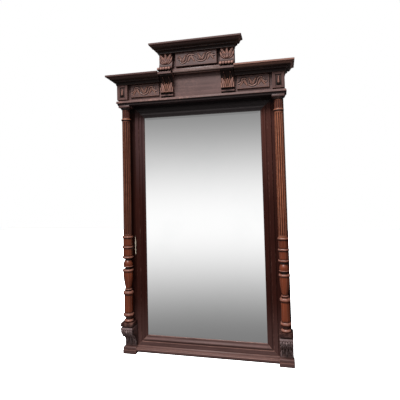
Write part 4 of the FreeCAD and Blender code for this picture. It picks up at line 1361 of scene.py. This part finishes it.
# Light all round: stops by height for glass and polish, and for the sky by the angle from its
# middle. A turn is where a light starts and where it is full, as a part of the direction.
WHITE = (1.0, 1.0, 1.0)
GLASS_STOPS = [(0.31, (0.21, 0.21, 0.21)), (0.447, WHITE), (0.452, WHITE),
               (0.615, (0.23, 0.23, 0.23))]
POLISH_STOPS = [(0.38, (0.45, 0.38, 0.38)), (0.45, (0.05, 0.04, 0.04)), (0.55, (0.05, 0.04, 0.04)),
                (0.63, (0.9, 0.76, 0.76))]
POLISH_BEHIND, POLISH_TURN = (0.03, 0.025, 0.025), (-0.85, 0.1)
SKY_MIDDLE = Vector((-0.16, -0.82, 0.50)).normalized()
SKY_STOPS = [(0.0, (0.05, 0.05, 0.05)), (0.55, (0.08, 0.08, 0.08)), (0.78, (0.30, 0.29, 0.28)),
             (1.0, (1.0, 0.98, 0.96))]
BACK_LIGHT, BACK_TURN = (1.8, 1.75, 1.7), (0.82, 0.97)
SIDE_LIGHT, SIDE_TURN = (2.2, 2.14, 2.08), (0.86, 1.0)


class MIRROR_OT_stage(bpy.types.Operator):
    """Set the floor, the light all round, the lamp and the camera."""
    bl_idname = "mirror.stage"
    bl_label = "Stage"

    def execute(self, context):
        light = context.scene.mirror_light
        self.make_world(light.fill)
        self.make_floor()
        self.make_lamp(light.key)
        self.make_camera()
        context.scene.view_settings.view_transform = "Standard"
        return {"FINISHED"}

    def make_world(self, fill):
        """White for the camera, a sky with lights behind and beside, a dark skyline for polish,
        and a graded wall of light for the glass."""
        world = bpy.data.worlds.new("studio")
        bpy.context.scene.world = world
        world.use_nodes = True
        sheet = Sheet(world.node_tree)
        way = sheet.node("ShaderNodeTexCoord", output="Generated")
        across, front, rise = [sheet.part(way, axis) for axis in "XYZ"]
        camera, glossy, singular = [
            sheet.node("ShaderNodeLightPath", output=name)
            for name in ("Is Camera Ray", "Is Glossy Ray", "Is Singular Ray")]
        glass = sheet.node("ShaderNodeValToRGB", {"stops": GLASS_STOPS}, rise * 0.5 + 0.5)
        glass.socket.node.color_ramp.interpolation = "EASE"
        polish = sheet.node("ShaderNodeValToRGB", {"stops": POLISH_STOPS}, rise * 0.5 + 0.5)
        polish = sheet.mix(front.ramp(*POLISH_TURN), polish, POLISH_BEHIND)
        towards = sheet.node("ShaderNodeVectorMath", {"operation": "DOT_PRODUCT"}, way, SKY_MIDDLE,
                             output="Value")
        sky = sheet.node("ShaderNodeValToRGB", {"stops": SKY_STOPS}, towards * 0.5 + 0.5)
        sky = sheet.mix(front.ramp(*BACK_TURN), sky, BACK_LIGHT)
        sky = sheet.mix(across.size().ramp(*SIDE_TURN), sky, SIDE_LIGHT)
        shown = sheet.mix(glossy, sky, polish)
        shown = sheet.mix(glossy * singular, shown, glass)
        shown = sheet.mix(camera, shown, WHITE)
        strength = sheet.mix(glossy.largest(camera), (fill, fill, fill), WHITE)
        sheet.node("ShaderNodeOutputWorld", None,
                   sheet.node("ShaderNodeBackground", None, shown, strength))

    def make_floor(self):
        """Clear floor that shows a share of the shadow."""
        mesh = bpy.data.meshes.new("floor")
        mesh.from_pydata([(x * FLOOR_REACH, y * FLOOR_REACH, 0)
                          for x, y in ((-1, -1), (1, -1), (1, 1), (-1, 1))], [], [(0, 1, 2, 3)])
        floor = bpy.data.objects.new("floor", mesh)
        bpy.context.scene.collection.objects.link(floor)
        floor.is_shadow_catcher = True
        floor.visible_glossy = False
        floor.visible_diffuse = False
        material, sheet = new_material("pale_floor")
        matt = sheet.node("ShaderNodeBsdfDiffuse", None, FLOOR_COLOUR, 0.9)
        clear = sheet.node("ShaderNodeBsdfTransparent")
        sheet.node("ShaderNodeOutputMaterial", None,
                   sheet.node("ShaderNodeMixShader", None, SHADOW_SHARE, clear, matt))
        mesh.materials.append(material)

    def make_lamp(self, power):
        """Square lamp that looks at the middle of the mirror."""
        lamp = bpy.data.lights.new("key", "AREA")
        lamp.shape = "SQUARE"
        lamp.size = LAMP_SIZE
        lamp.energy = power
        made = bpy.data.objects.new("key", lamp)
        bpy.context.scene.collection.objects.link(made)
        made.location = LAMP_PLACE
        made.rotation_euler = (LAMP_AIM - LAMP_PLACE).to_track_quat("-Z", "Y").to_euler()

    def make_camera(self):
        """Camera at the photograph's place and angle."""
        camera = bpy.data.cameras.new("camera")
        camera.sensor_width = SENSOR_WIDTH
        camera.lens = CAMERA_LENS
        camera.shift_x, camera.shift_y = CAMERA_SHIFT
        made = bpy.data.objects.new("camera", camera)
        bpy.context.scene.collection.objects.link(made)
        turn = (Matrix.Rotation(CAMERA_YAW, 4, "Z") @ Matrix.Rotation(CAMERA_PITCH, 4, "X")
                @ Matrix.Rotation(CAMERA_ROLL, 4, "Y"))
        made.matrix_world = (Matrix.Translation(CAMERA_PLACE) @ turn
                             @ Matrix.Rotation(math.pi / 2, 4, "X"))
        bpy.context.scene.camera = made


class MIRROR_PT_build(bpy.types.Panel):
    """The steps and the settings of the mirror, in the sidebar."""
    bl_label = "Mirror"
    bl_idname = "MIRROR_PT_build"
    bl_space_type = "VIEW_3D"
    bl_region_type = "UI"
    bl_category = "Mirror"

    def draw(self, context):
        for step in STEPS:
            self.layout.operator(step.bl_idname)
        for group in (context.scene.mirror_sizes, context.scene.mirror_light,
                      context.scene.mirror_colours):
            box = self.layout.box()
            for name in group.__annotations__:
                box.prop(group, name)


STEPS = (MIRROR_OT_boards, MIRROR_OT_panels, MIRROR_OT_consoles, MIRROR_OT_columns,
         MIRROR_OT_fixings, MIRROR_OT_glass, MIRROR_OT_stage)
CLASSES = (MirrorColours, MirrorSizes, MirrorLight, *STEPS, MIRROR_PT_build)


def register():
    """Adds the classes and the scene's settings."""
    for item in CLASSES:
        bpy.utils.register_class(item)
    bpy.types.Scene.mirror_colours = bpy.props.PointerProperty(type=MirrorColours)
    bpy.types.Scene.mirror_sizes = bpy.props.PointerProperty(type=MirrorSizes)
    bpy.types.Scene.mirror_light = bpy.props.PointerProperty(type=MirrorLight)


def unregister():
    """Takes them away again."""
    del bpy.types.Scene.mirror_colours
    del bpy.types.Scene.mirror_sizes
    del bpy.types.Scene.mirror_light
    for item in reversed(CLASSES):
        bpy.utils.unregister_class(item)


def main():
    """Dresses the mirror."""
    register()
    bpy.ops.mirror.boards()
    bpy.ops.mirror.panels()
    bpy.ops.mirror.consoles()
    bpy.ops.mirror.columns()
    bpy.ops.mirror.fixings()
    bpy.ops.mirror.glass()
    bpy.ops.mirror.stage()


if __name__ == "__main__":
    main()
